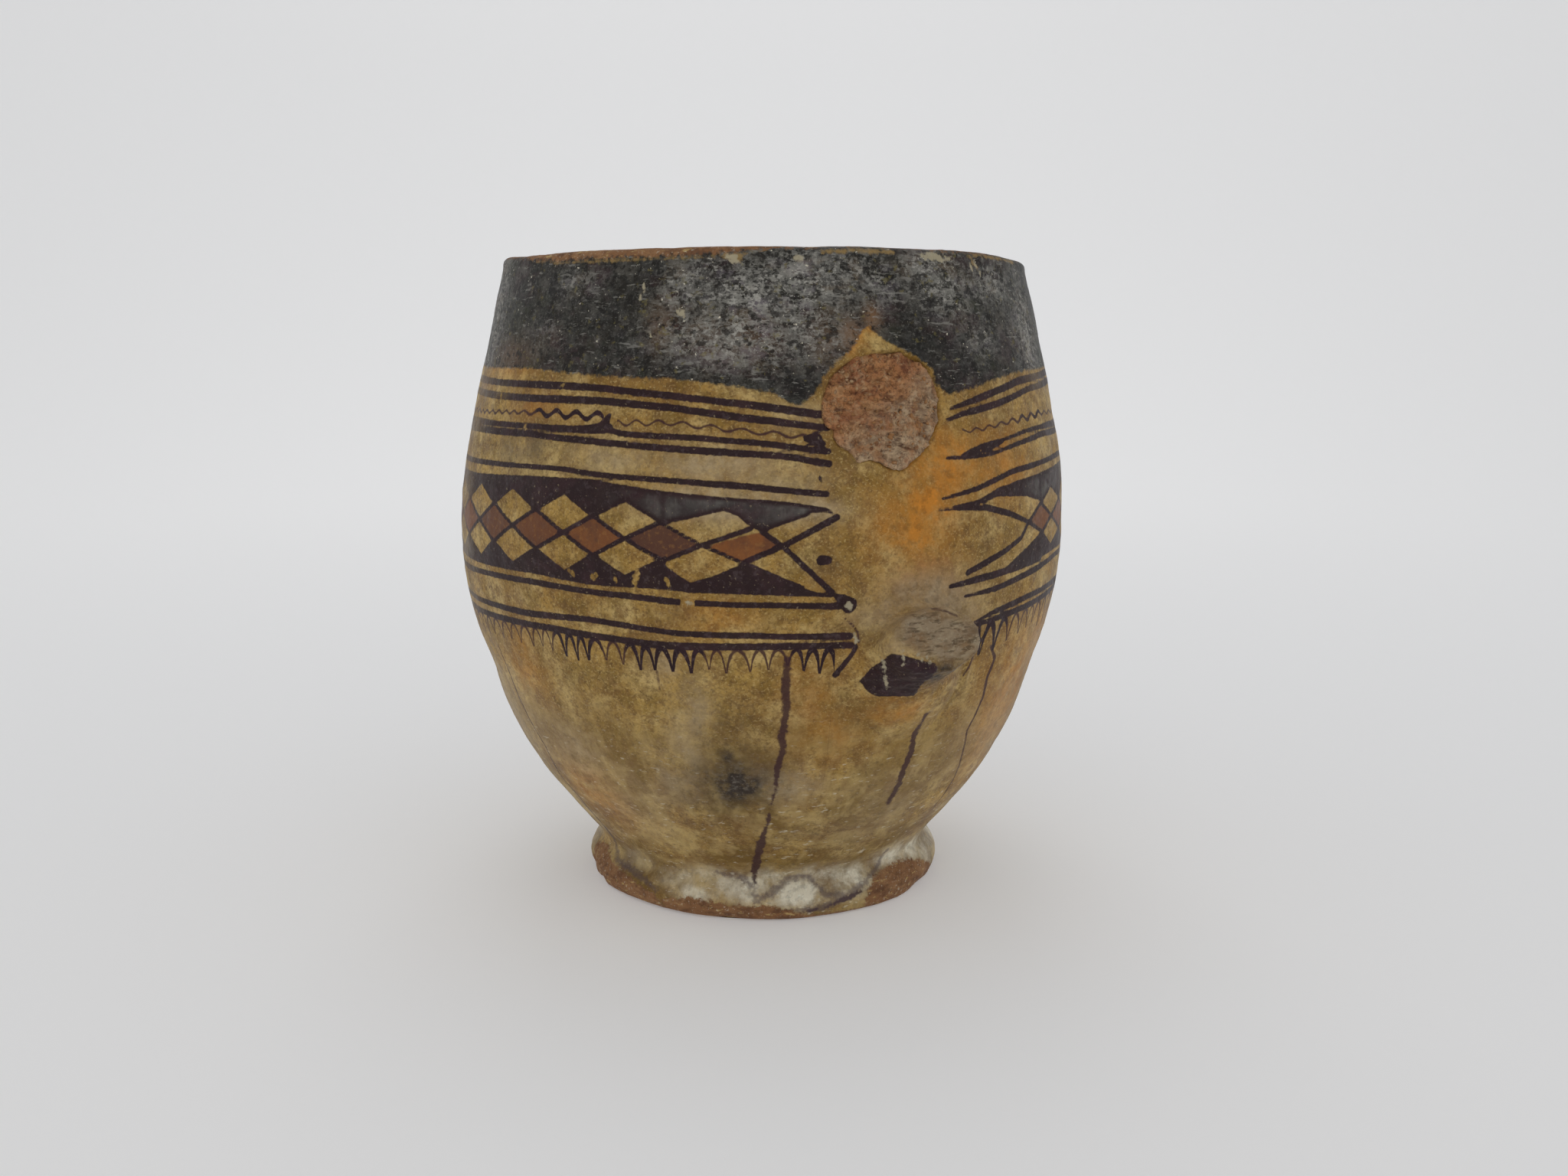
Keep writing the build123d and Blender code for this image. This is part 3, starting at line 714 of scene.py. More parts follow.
def section():
    """Half section of the pot in millimetres, from under the floor, up the outside and down the inside."""
    fall = math.tan(math.radians(JOINT_SLOPE))
    inner_joints = []
    for radius, height in (
        (NECK_RADIUS, NECK_HEIGHT), (BELLY_RADIUS, BELLY_HEIGHT), (FLANK_RADIUS, FLANK_HEIGHT),
    ):
        level = height
        for _ in range(12):
            level = height - fall * (radius - inside_line(level))
        inner_joints.append(float(level))
    lip_height = POT_HEIGHT - LIP_ROUNDING
    radii, heights, marks = [], [], {}

    def run(name, new_radii, new_heights):
        """Adds points, and marks the last of them by a name."""
        radii.extend(np.broadcast_to(new_radii, np.shape(new_heights)))
        heights.extend(new_heights)
        marks[name] = len(radii) - 1

    def climb(name, low, high, count, line):
        """Adds so many points from one height to another on a line."""
        levels = np.linspace(low, high, count + 1)[1:]
        run(name, line(levels), levels)

    # The smallest rings round the axis, above and below, are closed by a fan of faces
    smallest = 0.6
    under = np.linspace(smallest, FLOOR_BOTTOM_RADIUS, 20)
    run("floor_edge", under, 0 * under)
    under = np.linspace(FLOOR_BOTTOM_RADIUS, FOOT_CONTACT - 1, 10)[1:]
    run("contact", under, 0 * under)
    run("foot_edge", np.array((FOOT_CONTACT - 0.4, FOOT_CONTACT)), np.array((0.08, 0.3)))
    for name, low, high, count in (
        ("waist", 0.3, WAIST_HEIGHT, 22), ("flank", WAIST_HEIGHT, FLANK_HEIGHT, 66),
        ("belly", FLANK_HEIGHT, BELLY_HEIGHT, 70), ("neck", BELLY_HEIGHT, NECK_HEIGHT, 78),
        ("lip", NECK_HEIGHT, lip_height, 24),
    ):
        climb(name, low, high, count, outer_radius)
    over = np.linspace(0, math.pi, 15)[1:]
    flatness = 0.72
    out = np.sign(np.cos(over)) * np.abs(np.cos(over)) ** flatness
    up = np.abs(np.sin(over)) ** flatness
    run("lip_in", RIM_RADIUS - LIP_THICKNESS * (1 - out) / 2, lip_height + LIP_ROUNDING * up)
    levels = [lip_height] + inner_joints + [WAIST_HEIGHT]
    for i, name in enumerate(("neck_in", "belly_in", "flank_in", "floor_in")):
        climb(name, levels[i], levels[i + 1], 12 if name == "floor_in" else 8, inside_line)
    floor = np.linspace(WAIST_RADIUS - SOLE_THICKNESS, smallest, 20)[1:]
    run("end", floor, np.full(19, WAIST_HEIGHT))
    path = np.stack((radii, heights), -1)
    corner = slice(marks["floor_in"] - 3, marks["floor_in"] + 4)
    for _ in range(6):
        eased = (path[:-2] + 2 * path[1:-1] + path[2:]) / 4
        path[corner] = eased[corner.start - 1:corner.stop - 1]
    return path, marks


def new_tree(name, inputs):
    """Geometry Nodes tree with named inputs besides its geometry, and the sockets that bring them in."""
    tree = bpy.data.node_groups.new(name, "GeometryNodeTree")
    for given, kind in (("Geometry", "Geometry"),) + inputs:
        tree.interface.new_socket(given, in_out="INPUT", socket_type=f"NodeSocket{kind}")
    tree.interface.new_socket("Geometry", in_out="OUTPUT", socket_type="NodeSocketGeometry")
    return tree, add(tree, "NodeGroupInput").outputs


def end_tree(tree, geometry, material):
    """Ends a tree with real geometry that is made of a material."""
    real = add(tree, "GeometryNodeRealizeInstances", {"Geometry": geometry})
    dressed = add(tree, "GeometryNodeSetMaterial", {"Geometry": real, "Material": material})
    add(tree, "NodeGroupOutput", {"Geometry": dressed})


@functools.lru_cache(maxsize=None)
def clay_relief():
    """Geometry Nodes tree that moves a clay surface along its normal, as a hand and wear leave it."""
    sizes = ("Wobble", "Wobble Size", "Pinch", "Pinch Size", "Pit", "Pit Size", "Seed")
    tree, given = new_tree("clay relief", tuple((name, "Float") for name in sizes) + (("Clay", "Material"),))
    place = add(tree, "GeometryNodeInputPosition")
    total = None
    for name, squash in (("Wobble", 1.0), ("Pinch", 1.8), ("Pit", 1.0)):
        pressed = add(tree, "ShaderNodeVectorMath", {0: place, 1: (1, 1, squash)}, operation="MULTIPLY")
        fine = add(tree, "ShaderNodeMath", {0: 1.0, 1: given[f"{name} Size"]}, operation="DIVIDE")
        noise = add(
            tree, "ShaderNodeTexNoise", {"Vector": pressed, "W": given["Seed"], "Scale": fine, "Detail": 2.0},
            noise_dimensions="4D")
        swing = add(tree, "ShaderNodeMath", {0: noise, 1: 0.5}, operation="SUBTRACT")
        rise = add(tree, "ShaderNodeMath", {0: swing, 1: given[name]}, operation="MULTIPLY")
        total = rise if total is None else add(tree, "ShaderNodeMath", {0: rise, 1: total}, operation="ADD")
    give = add(tree, "GeometryNodeInputNamedAttribute", {"Name": "give"}, data_type="FLOAT")
    moved = add(tree, "ShaderNodeMath", {0: total, 1: give}, operation="MULTIPLY")
    # The noise swings about a quarter each way, so four times it is the depth that was asked for
    whole = add(tree, "ShaderNodeMath", {0: moved, 1: 4.0}, operation="MULTIPLY")
    normal = add(tree, "GeometryNodeInputNormal")
    along = add(tree, "ShaderNodeVectorMath", {0: normal, "Scale": whole}, operation="SCALE")
    shaped = add(tree, "GeometryNodeSetPosition", {"Geometry": given["Geometry"], "Offset": along})
    end_tree(tree, shaped, given["Clay"])
    return tree


def grit_scatter():
    """Geometry Nodes tree that beds grains of temper in a broken clay surface."""
    tree, given = new_tree("temper grit", (
        ("Density", "Float"), ("Smallest", "Float"), ("Largest", "Float"), ("Seed", "Int"),
        ("Stone", "Material")))
    broken = add(tree, "GeometryNodeInputNamedAttribute", {"Name": "broken"}, data_type="FLOAT")
    chosen = add(
        tree, "FunctionNodeCompare", {0: broken, 1: 0.5}, operation="GREATER_THAN", data_type="FLOAT")
    points = add(
        tree, "GeometryNodeDistributePointsOnFaces",
        {"Mesh": given["Geometry"], "Selection": chosen, "Density": given["Density"], "Seed": given["Seed"]})
    grain = add(tree, "GeometryNodeMeshIcoSphere", {"Radius": 1.0, "Subdivisions": 2})
    size = add(
        tree, "FunctionNodeRandomValue",
        {2: given["Smallest"], 3: given["Largest"], "Seed": given["Seed"]}, data_type="FLOAT")
    stretch = add(
        tree, "FunctionNodeRandomValue", {0: (0.6, 0.6, 0.5), 1: (1.3, 1.2, 0.9), "Seed": 7},
        data_type="FLOAT_VECTOR")
    scale = add(
        tree, "ShaderNodeVectorMath", {0: stretch, "Scale": size.outputs[1]}, operation="SCALE")
    spun = add(
        tree, "FunctionNodeRandomValue", {0: (-3.1, -3.1, -3.1), 1: (3.1, 3.1, 3.1), "Seed": 3},
        data_type="FLOAT_VECTOR")
    placed = add(
        tree, "GeometryNodeInstanceOnPoints",
        {"Points": points, "Instance": grain, "Scale": scale, "Rotation": spun})
    end_tree(tree, placed, given["Stone"])
    return tree


def formed(obj, tree, values):
    """Runs a Geometry Nodes tree on an object with named values, and gives the plain mesh that comes out."""
    modifier = obj.modifiers.new(tree.name, "NODES")
    modifier.node_group = tree
    sockets = {item.name: item.identifier for item in tree.interface.items_tree if item.in_out == "INPUT"}
    for name, value in values.items():
        modifier[sockets[name]] = value
    graph = bpy.context.evaluated_depsgraph_get()
    mesh = bpy.data.meshes.new_from_object(
        obj.evaluated_get(graph), preserve_all_data_layers=True, depsgraph=graph)
    obj.modifiers.remove(modifier)
    return mesh


def grid_faces(rows, columns, closed=False):
    """Corner numbers of the quads of a grid whose columns close round."""
    row = np.arange(rows if closed else rows - 1)[:, None]
    column = np.arange(columns)[None, :]
    here, up = row * columns, (row + 1) % rows * columns
    after = (column + 1) % columns
    return np.stack((here + column, here + after, up + after, up + column), -1).reshape(-1, 4)


def linked(name, mesh):
    """Object at the origin that holds a mesh."""
    obj = bpy.data.objects.new(name, mesh)
    bpy.context.scene.collection.objects.link(obj)
    return obj


def discard(obj):
    """Removes an object that was only a blank, and its mesh."""
    mesh = obj.data
    bpy.data.objects.remove(obj)
    bpy.data.meshes.remove(mesh)


def roughened(mesh, depths, sizes, seed, clay=None):
    """Mesh of a blank after its clay relief: depths and sizes of wobble, pinch marks and pits in metres."""
    blank = linked("clay blank", mesh)
    values = {"Seed": float(seed), "Clay": clay}
    for name, depth, size in zip(("Wobble", "Pinch", "Pit"), depths, sizes):
        values[name] = depth
        values[f"{name} Size"] = size
    shaped = formed(blank, clay_relief(), values)
    discard(blank)
    return shaped


def level_rings(phi, places):
    """Level rings of points in metres at angles, one for each radius and height in millimetres."""
    angle = np.radians(phi)
    rings = [np.stack((r * np.sin(angle), -r * np.cos(angle), z + 0 * angle), -1) for r, z in places]
    return np.array(rings) * MM


def capped(name, points, flipped=False):
    """Mesh of rows of points that close round, with a fan of faces over the first row and the last.

    The middle of the first row and that of the last come after the other points.
    """
    around = points.shape[1]
    flat = points.reshape(-1, 3)
    last = len(flat) - around
    quads = grid_faces(len(points), around)
    faces = (quads[:, ::-1] if flipped else quads).tolist()
    for i in range(around):
        ends = (i, (i + 1) % around)
        start, end = ends if flipped else ends[::-1]
        faces.append((start, end, len(flat)))
        faces.append((last + end, last + start, len(flat) + 1))
    poles = np.stack((flat[:around].mean(0), flat[last:].mean(0)))
    mesh = bpy.data.meshes.new(name)
    mesh.from_pydata(np.concatenate((flat, poles)).tolist(), [], faces)
    mesh.shade_smooth()
    return mesh


def store(mesh, fields):
    """Keeps each field on the mesh's points as an attribute."""
    for name, values in fields.items():
        attribute = mesh.attributes.new(name, "FLOAT", "POINT")
        attribute.data.foreach_set("value", np.ascontiguousarray(values, np.float32).ravel())


def coordinates(mesh):
    """Points of a mesh as rows of three numbers."""
    flat = np.empty(len(mesh.vertices) * 3, np.float32)
    mesh.vertices.foreach_get("co", flat)
    return flat.reshape(-1, 3).astype(float)


def on_wall(phi, z, lift=0.0):
    """Points in metres on the outside at angles and heights, lifted off it by millimetres."""
    radius = outer_radius(z) + lift
    turn = np.radians(phi)
    return np.stack((radius * np.sin(turn), -radius * np.cos(turn), z + 0 * turn), -1) * MM


@functools.lru_cache(maxsize=1)
def skin(wobble, pinch, pit, seed):
    """Whole skin of the pot as the hand left it: rows of points in metres, their normals and places."""
    path, marks = section()
    phi = np.arange(COLUMNS) * 360 / COLUMNS - 180
    z = np.repeat(path[:, 1:], COLUMNS, 1)
    radius = np.repeat(path[:, :1], COLUMNS, 1)
    turn = np.repeat(phi[None, :], len(path), 0)
    rows = np.arange(len(path))[:, None]
    outer = (rows > marks["contact"]) & (rows <= marks["lip"] + 7)
    rise = np.zeros(z.shape)
    for angle, height, wide, high, amount in DENTS:
        across = apart(turn, angle) * ARC * outer_radius(height) / wide
        rise += amount * np.exp(-(across**2) - ((z - height) / high) ** 2)
    gap = scar_distance(turn, z)
    side = np.arctan2(z - SCAR_CENTRE[1], (turn - SCAR_CENTRE[0]) * ARC * SHOULDER_RADIUS)
    rise += PROUD_EDGE * proud_side(side) * np.exp(-((gap - 0.6) / 0.9) ** 2)
    rise -= SCAR_DEPTH * smooth_step(0.1, -0.9, gap)
    radius = radius + np.where(outer, rise, 0)
    uneven = RIM_TILT * np.cos(np.radians(turn - LEAN_ANGLE)) + waver(turn, 17, RIM_WAVER) - RIM_DROP
    uneven = uneven + RAISED * np.exp(-(apart(turn, RAISED_ANGLE) / RAISED_SPAN) ** 2)
    lean = LEAN * smooth_step(*LEAN_LEVELS, z)
    angle = np.radians(turn)
    points = np.stack((
        radius * np.sin(angle) + lean * math.sin(math.radians(LEAN_ANGLE)),
        -radius * np.cos(angle) - lean * math.cos(math.radians(LEAN_ANGLE)),
        z + uneven * smooth_step(*RIM_LEVELS, z)), -1) * MM
    mesh = bpy.data.meshes.new("skin blank")
    mesh.from_pydata(points.reshape(-1, 3).tolist(), [], grid_faces(len(path), COLUMNS).tolist())
    # The clay gives little where it stands, more on the foot coil and less on the floor inside
    give = np.where(rows <= marks["contact"], 0.12, 1.0) * np.ones(z.shape)
    give *= np.where((rows > marks["contact"]) & (rows < marks["waist"]), 1.15, 1.0)
    give = np.where(rows >= marks["floor_in"], 0.6, give)
    store(mesh, {"give": give})
    shaped = roughened(mesh, depths=(wobble, pinch, pit), sizes=(0.062, 0.017, 0.0026), seed=seed)
    points = coordinates(shaped).reshape(len(path), COLUMNS, 3)
    points[:, :, 2] = np.maximum(points[:, :, 2], 0)
    bpy.data.meshes.remove(shaped)
    round_pot = np.roll(points, -1, 1) - np.roll(points, 1, 1)
    normals = np.cross(round_pot, np.gradient(points, axis=0))
    normals /= np.maximum(np.linalg.norm(normals, axis=2, keepdims=True), 1e-12)
    return SimpleNamespace(points=points, normals=normals, phi=turn, z=z, outer=outer, marks=marks)


def shaped_skin():
    """The pot's skin with the hand's unsteadiness that the panel sets."""
    hand = bpy.context.scene.pot_hand
    return skin(hand.wobble, hand.pinch, hand.pit, hand.seed)


def between(start, end, count):
    """Rows of points evenly between two rows, without them."""
    share = (np.arange(1, count + 1) / (count + 1))[:, None, None]
    return start + (end - start) * share


def ring_piece(name, skin_of, runs, materials):
    """Closed ring of clay from runs of skin rows, with plain joint faces between one run and the next.

    A run is its first and last row and the rows of joint points after it.
    """
    points, normals, phi, z, kinds = [], [], [], [], []
    for first, last, joint in runs:
        rows = slice(first, last + 1)
        points += [skin_of.points[rows], joint]
        normals += [skin_of.normals[rows], np.zeros(joint.shape)]
        phi += [skin_of.phi[rows], np.repeat(skin_of.phi[:1], len(joint), 0)]
        z += [skin_of.z[rows], joint[:, :, 2] / MM]
        for row in range(first, last):
            kinds.append(OUTSIDE if skin_of.outer[row] and skin_of.outer[row + 1] else LINING)
        kinds += [JOINT] * (len(joint) + 1)
    points, normals, phi, z = (np.concatenate(part) for part in (points, normals, phi, z))
    faces = grid_faces(len(points), COLUMNS, closed=True)
    mesh = bpy.data.meshes.new(name)
    mesh.from_pydata(points.reshape(-1, 3).tolist(), [], faces.tolist())
    kind = np.repeat(kinds, COLUMNS)
    for material in materials:
        mesh.materials.append(material)
    mesh.polygons.foreach_set("material_index", np.minimum(kind, len(materials) - 1).astype(np.int32))
    flat = points.reshape(-1, 3)[faces]
    across = np.cross(flat[:, 2] - flat[:, 0], flat[:, 3] - flat[:, 1])
    across /= np.maximum(np.linalg.norm(across, axis=1, keepdims=True), 1e-12)
    corners = np.where((kind == JOINT)[:, None, None], across[:, None, :], normals.reshape(-1, 3)[faces])
    mesh.shade_smooth()
    mesh.normals_split_custom_set(corners.reshape(-1, 3).tolist())
    lay_flat(mesh, points, kinds)
    store(mesh, paint(phi.ravel(), z.ravel()))
    return linked(name, mesh)


def lay_flat(mesh, points, kinds, strips=3):
    """UV map of a closed ring: the ring cut into strips laid one over the other, the outside largest."""
    steps = np.linalg.norm(np.roll(points, -1, 0) - points, axis=2).mean(1)
    weight = np.array((1.0, 0.5, 0.15))[np.array(kinds)]
    height = np.concatenate(((0,), np.cumsum(steps * weight)))
    height = 0.01 + 0.98 * height / height[-1]
    row = np.repeat(np.arange(len(points)), COLUMNS)
    column = np.tile(np.arange(COLUMNS), len(points))
    wide = COLUMNS // strips
    strip = column // wide
    left = 0.004 + 0.992 * (column % wide) / wide
    right = 0.004 + 0.992 * (column % wide + 1) / wide
    low, top = (strip + height[row]) / strips, (strip + height[row + 1]) / strips
    corners = np.stack((left, low, right, low, right, top, left, top), -1)
    mesh.uv_layers.new(name="OFBake").uv.foreach_set("vector", corners.astype(np.float32).ravel())


def finish_piece(obj, slot, *nodes):
    """Hides the imported parts that a finished piece stands for, and makes it move with the root."""
    if nodes:
        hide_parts(*nodes)
    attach(obj, "root")


def material_start(name):
    """New material: its node tree, and Object coordinates in millimetres."""
    material = bpy.data.materials.new(name)
    material.use_nodes = True
    tree = material.node_tree
    tree.nodes.clear()
    frame_of = add(tree, "ShaderNodeTexCoord").outputs["Object"]
    place = add(tree, "ShaderNodeVectorMath", {0: frame_of, "Scale": 1 / MM}, operation="SCALE")
    return material, tree, place


def layered(tree, place, colour, layers, by=None):
    """Lays tints over a colour, each broken up by noise, and gives the colour that comes of it.

    A layer is its grain in millimetres round and up the pot, the noise levels between which it comes in,
    its strength and its tint, a colour or its hex code. A mask given as by goes over them all.
    """
    for i, (wide, high, start, end, strength, tint) in enumerate(layers):
        sized = add(
            tree, "ShaderNodeVectorMath",
            {0: place, 1: (1 / wide, 1 / wide, 1 / high), 2: (7.3 * i, wide, high)}, operation="MULTIPLY_ADD")
        noise = add(
            tree, "ShaderNodeTexNoise", {"Vector": sized, "Scale": 1.0, "Detail": 3.0, "Roughness": 0.62})
        mask = add(
            tree, "ShaderNodeMapRange",
            {"Value": noise, "From Min": start, "From Max": end, "To Max": strength})
        if by is not None:
            mask = add(tree, "ShaderNodeMath", {0: mask, 1: by}, operation="MULTIPLY")
        shade = linear(tint) if isinstance(tint, str) else tuple(tint)
        colour = add(tree, "ShaderNodeMix", {0: mask, 6: colour, 7: shade}, data_type="RGBA")
    return colour


def material_end(tree, colour, rough, height, depth_mm, shine=0.2):
    """Joins a colour, a roughness and a bump height of so many millimetres to the surface."""
    bump = add(tree, "ShaderNodeBump", {"Strength": 1.0, "Distance": depth_mm * MM, "Height": height})
    surface = add(
        tree, "ShaderNodeBsdfPrincipled",
        {"Base Color": colour, "Roughness": rough, "Normal": bump, "IOR": 1.5, "Specular IOR Level": shine,
         "Sheen Weight": 0.05, "Sheen Roughness": 0.35})
    add(tree, "ShaderNodeOutputMaterial", {"Surface": surface})


def slip_ground(tree, place):
    """Ochre slip with deeper clouds, smudges, thick and thin places, and grains of about 1 mm."""
    look = bpy.context.scene.pot_look
    colour = layered(tree, place, tuple(look.slip), (
        (60, 45, 0.42, 0.60, 0.7, look.slip_deep), (22, 32, 0.46, 0.62, 0.65, look.smudge),
        (12, 10, 0.46, 0.62, 0.7, look.slip_pale), (6, 7, 0.46, 0.60, 0.6, look.olive),
        (3.4, 3.0, 0.50, 0.63, 0.6, look.smudge), (1.6, 1.5, 0.53, 0.65, 0.4, "#5d4426"),
        (0.7, 0.7, 0.50, 0.64, 0.5, "#5d4426"), (0.7, 0.6, 0.54, 0.68, 0.55, look.slip_pale)))
    # The lower wall is browner and dirtier, with runs of dirt and level flecks of pale slip
    height = add(tree, "ShaderNodeSeparateXYZ", {0: place}).outputs["Z"]
    low = add(
        tree, "ShaderNodeMapRange", {"Value": height, "From Min": 76.0, "From Max": 40.0},
        interpolation_type="SMOOTHSTEP")
    return layered(tree, place, colour, (
        (26, 20, 0.40, 0.55, 0.8, look.olive), (5, 34, 0.50, 0.62, 0.5, look.smudge),
        (7, 40, 0.52, 0.64, 0.5, look.slip_pale), (13, 10, 0.48, 0.64, 0.5, look.smudge),
        (16, 9, 0.52, 0.66, 0.45, look.slip_pale), (4, 2.6, 0.55, 0.68, 0.35, look.slip_pale),
        (1.2, 1.0, 0.56, 0.67, 0.4, "#4a3820"), (3, 0.9, 0.63, 0.70, 0.5, look.cream)), low)


def slip_clouds(tree, place, colour, fields, blotch):
    """Lays clouds of flush, pale grey, ash and painted sheen, smoke and painted shadow, and thick pale slip
    over a colour, broken up by blotches.
    """
    look = bpy.context.scene.pot_look
    # The ash clouds are partly a painted sheen, and the smoke clouds partly a painted shadow under the stump
    for name, tint, least in (
        ("flush", look.flush, 0.35), ("worn", look.worn, 0.55), ("ash_and_sheen", look.ash_and_sheen, 0.35),
        ("stain", look.soot_and_shade, 0.6), ("cream", look.cream, 0.35),
    ):
        uneven = add(
            tree, "ShaderNodeMapRange",
            {"Value": blotch, "From Min": 0.36, "From Max": 0.62, "To Min": least, "To Max": 1.25})
        mask = add(tree, "ShaderNodeMath", {0: fields[name], 1: uneven}, operation="MULTIPLY", use_clamp=True)
        mottled = layered(tree, place, tuple(tint), (
            (2.4, 2.2, 0.49, 0.63, 0.6, [part * 0.5 for part in tint[:3]] + [1.0]),
            (0.9, 0.8, 0.53, 0.68, 0.4, [min(part * 1.4, 1) for part in tint[:3]] + [1.0])))
        colour = add(tree, "ShaderNodeMix", {0: mask, 6: colour, 7: mottled}, data_type="RGBA")
    return layered(tree, place, colour, (
        (3.0, 2.2, 0.54, 0.66, 0.3, "#857d72"), (0.9, 0.8, 0.55, 0.67, 0.28, "#948b7e")), fields["stain"])


def red_ochre(tree, place, fields):
    """Red of the lozenges, each in its own tone."""
    look = bpy.context.scene.pot_look
    red = add(
        tree, "ShaderNodeMix", {0: fields["tone"], 6: tuple(look.red), 7: tuple(look.red_deep)},
        data_type="RGBA")
    return layered(tree, place, red, (
        (6, 6, 0.48, 0.62, 0.6, look.red_deep), (1.3, 1.2, 0.55, 0.66, 0.4, "#9a6a38")))


def brush_paint(tree, place, fields):
    """Purple-black of the brush, greyed by ash and a painted sheen where a wide ground of it lies under those
    clouds.
    """
    look = bpy.context.scene.pot_look
    # Inside wide dark grounds the ash clouds, partly a painted sheen, grey the paint
    deep = add(tree, "ShaderNodeMapRange", {"Value": fields["black"], "From Min": -0.6, "From Max": -1.6})
    ash_and_sheen_on_ground = add(tree, "ShaderNodeMath", {0: deep, 1: fields["ash_and_sheen"]}, operation="MULTIPLY")
    black = layered(tree, place, tuple(look.black), (
        (20, 12, 0.24, 0.42, 1.0, look.black_ash_and_sheen), (8, 6, 0.46, 0.58, 0.7, "#6b6863"),
        (12, 8, 0.47, 0.38, 0.7, "#2a2024"), (1.4, 7, 0.54, 0.66, 0.4, "#77706a")), ash_and_sheen_on_ground)
    return layered(tree, place, black, (
        (6, 5, 0.50, 0.64, 0.5, "#3d252b"), (1.6, 1.5, 0.55, 0.66, 0.35, "#5b4d50"),
        (0.9, 0.8, 0.64, 0.71, 0.6, "#95846a")))


def neck_slip(tree, place, fields):
    """Black slip of the neck, browned in places by the fire, scuffed grey, and greyed by a painted sheen near
    the pot's edges.
    """
    look = bpy.context.scene.pot_look
    neck = layered(tree, place, tuple(look.neck), (
        (30, 20, 0.46, 0.60, 0.5, "#2c2e2a"), (12, 9, 0.47, 0.60, 0.8, "#0d0e10"),
        (14, 9, 0.53, 0.64, 0.6, "#38262a"), (18, 12, 0.54, 0.66, 0.6, "#2e3222"),
        (7, 5, 0.52, 0.65, 0.6, "#54524c"), (4, 3.2, 0.46, 0.36, 0.7, "#101112")))
    browned = add(
        tree, "ShaderNodeMath", {0: fields["flush"], 1: 0.7}, operation="MULTIPLY", use_clamp=True)
    neck = add(tree, "ShaderNodeMix", {0: browned, 6: neck, 7: linear("#7a5c40")}, data_type="RGBA")
    scuffed_and_sheen = add(tree, "ShaderNodeMath", {0: fields["rub_and_sheen"], 1: 0.95, 2: 0.06}, operation="MULTIPLY_ADD")
    neck = layered(tree, place, neck, (
        (11, 8, 0.46, 0.57, 0.6, "#656360"), (5, 3, 0.51, 0.56, 0.6, "#84827b"),
        (9, 6, 0.52, 0.61, 0.5, "#7c6c58"), (8, 6, 0.54, 0.62, 0.45, "#837a82"),
        (3.6, 1.6, 0.53, 0.58, 0.7, look.neck_worn), (1.5, 2.6, 0.55, 0.60, 0.6, look.neck_worn),
        (2.2, 1.4, 0.58, 0.62, 0.75, "#b4b1a8"), (0.8, 0.7, 0.53, 0.65, 0.6, "#b2afa5")), scuffed_and_sheen)
    return layered(tree, place, neck, (
        (3, 2.4, 0.45, 0.38, 0.8, "#121213"), (5, 1.0, 0.62, 0.66, 0.5, look.neck_worn),
        (0.8, 0.7, 0.57, 0.68, 0.28, look.neck_worn),
        (1.8, 1.5, 0.42, 0.33, 0.7, "#101112"), (2.6, 2.2, 0.62, 0.70, 0.5, "#7a7040"),
        (1.2, 1.1, 0.68, 0.73, 0.85, look.cream)))


def worn_through(tree, place):
    """Bare gritty clay of the foot and the lip, with crumbs of slip left on it."""
    look = bpy.context.scene.pot_look
    return layered(tree, place, tuple(look.clay), (
        (9, 6, 0.46, 0.60, 0.7, look.clay_pale), (6, 3, 0.50, 0.64, 0.6, "#5e4032"),
        (2.4, 1.6, 0.54, 0.66, 0.4, "#4a3224"), (0.9, 0.8, 0.53, 0.66, 0.35, "#553a28"),
        (3, 1.0, 0.60, 0.68, 0.6, look.slip_pale), (0.9, 0.8, 0.60, 0.69, 0.4, look.cream)))


def stump_end(tree, place):
    """Broken end of the lower handle root, rubbed grey, with level streaks of dirt."""
    return layered(tree, place, linear("#94826a"), (
        (9, 2.4, 0.46, 0.60, 0.75, "#66513b"), (4, 2.6, 0.52, 0.64, 0.6, "#ac9c80"),
        (9, 6, 0.50, 0.64, 0.6, "#80603f"), (3.6, 0.8, 0.52, 0.62, 0.7, "#43362a"),
        (0.9, 0.8, 0.55, 0.68, 0.45, "#b0a48b")))


def fringe_strokes(tree, fields):
    """Distance outside the fringe: steep curves from the line down to tips that meet in short stems."""
    tip = add(tree, "ShaderNodeMath", {0: fields["arch_along"], 1: 0.5}, operation="PINGPONG")
    tip = add(tree, "ShaderNodeMath", {0: tip, 1: -2.0, 2: 1.0}, operation="MULTIPLY_ADD")
    leg = add(tree, "ShaderNodeMath", {0: tip, 1: 2.0}, operation="POWER")
    stem = add(tree, "ShaderNodeMath", {0: tip, 1: 6.0}, operation="POWER")
    arch = add(tree, "ShaderNodeMath", {0: leg, 1: 0.75, 2: fields["arch_up"]}, operation="MULTIPLY_ADD")
    arch = add(tree, "ShaderNodeMath", {0: stem, 1: 0.4, 2: arch}, operation="MULTIPLY_ADD")
    arch = add(tree, "ShaderNodeMath", {0: arch, 1: 1.0}, operation="SUBTRACT")
    arch = add(tree, "ShaderNodeMath", {0: arch}, operation="ABSOLUTE")
    steep = add(tree, "ShaderNodeMath", {0: tip, 1: 0.37, 2: 0.167}, operation="MULTIPLY_ADD")
    arch = add(tree, "ShaderNodeMath", {0: arch, 1: steep}, operation="DIVIDE")
    arch = add(tree, "ShaderNodeMath", {0: arch, 1: fields["arch_half"]}, operation="SUBTRACT")
    below = add(tree, "ShaderNodeMath", {0: fields["arch_up"], 1: -7.5}, operation="MULTIPLY")
    return add(tree, "ShaderNodeMath", {0: arch, 1: below}, operation="MAXIMUM")


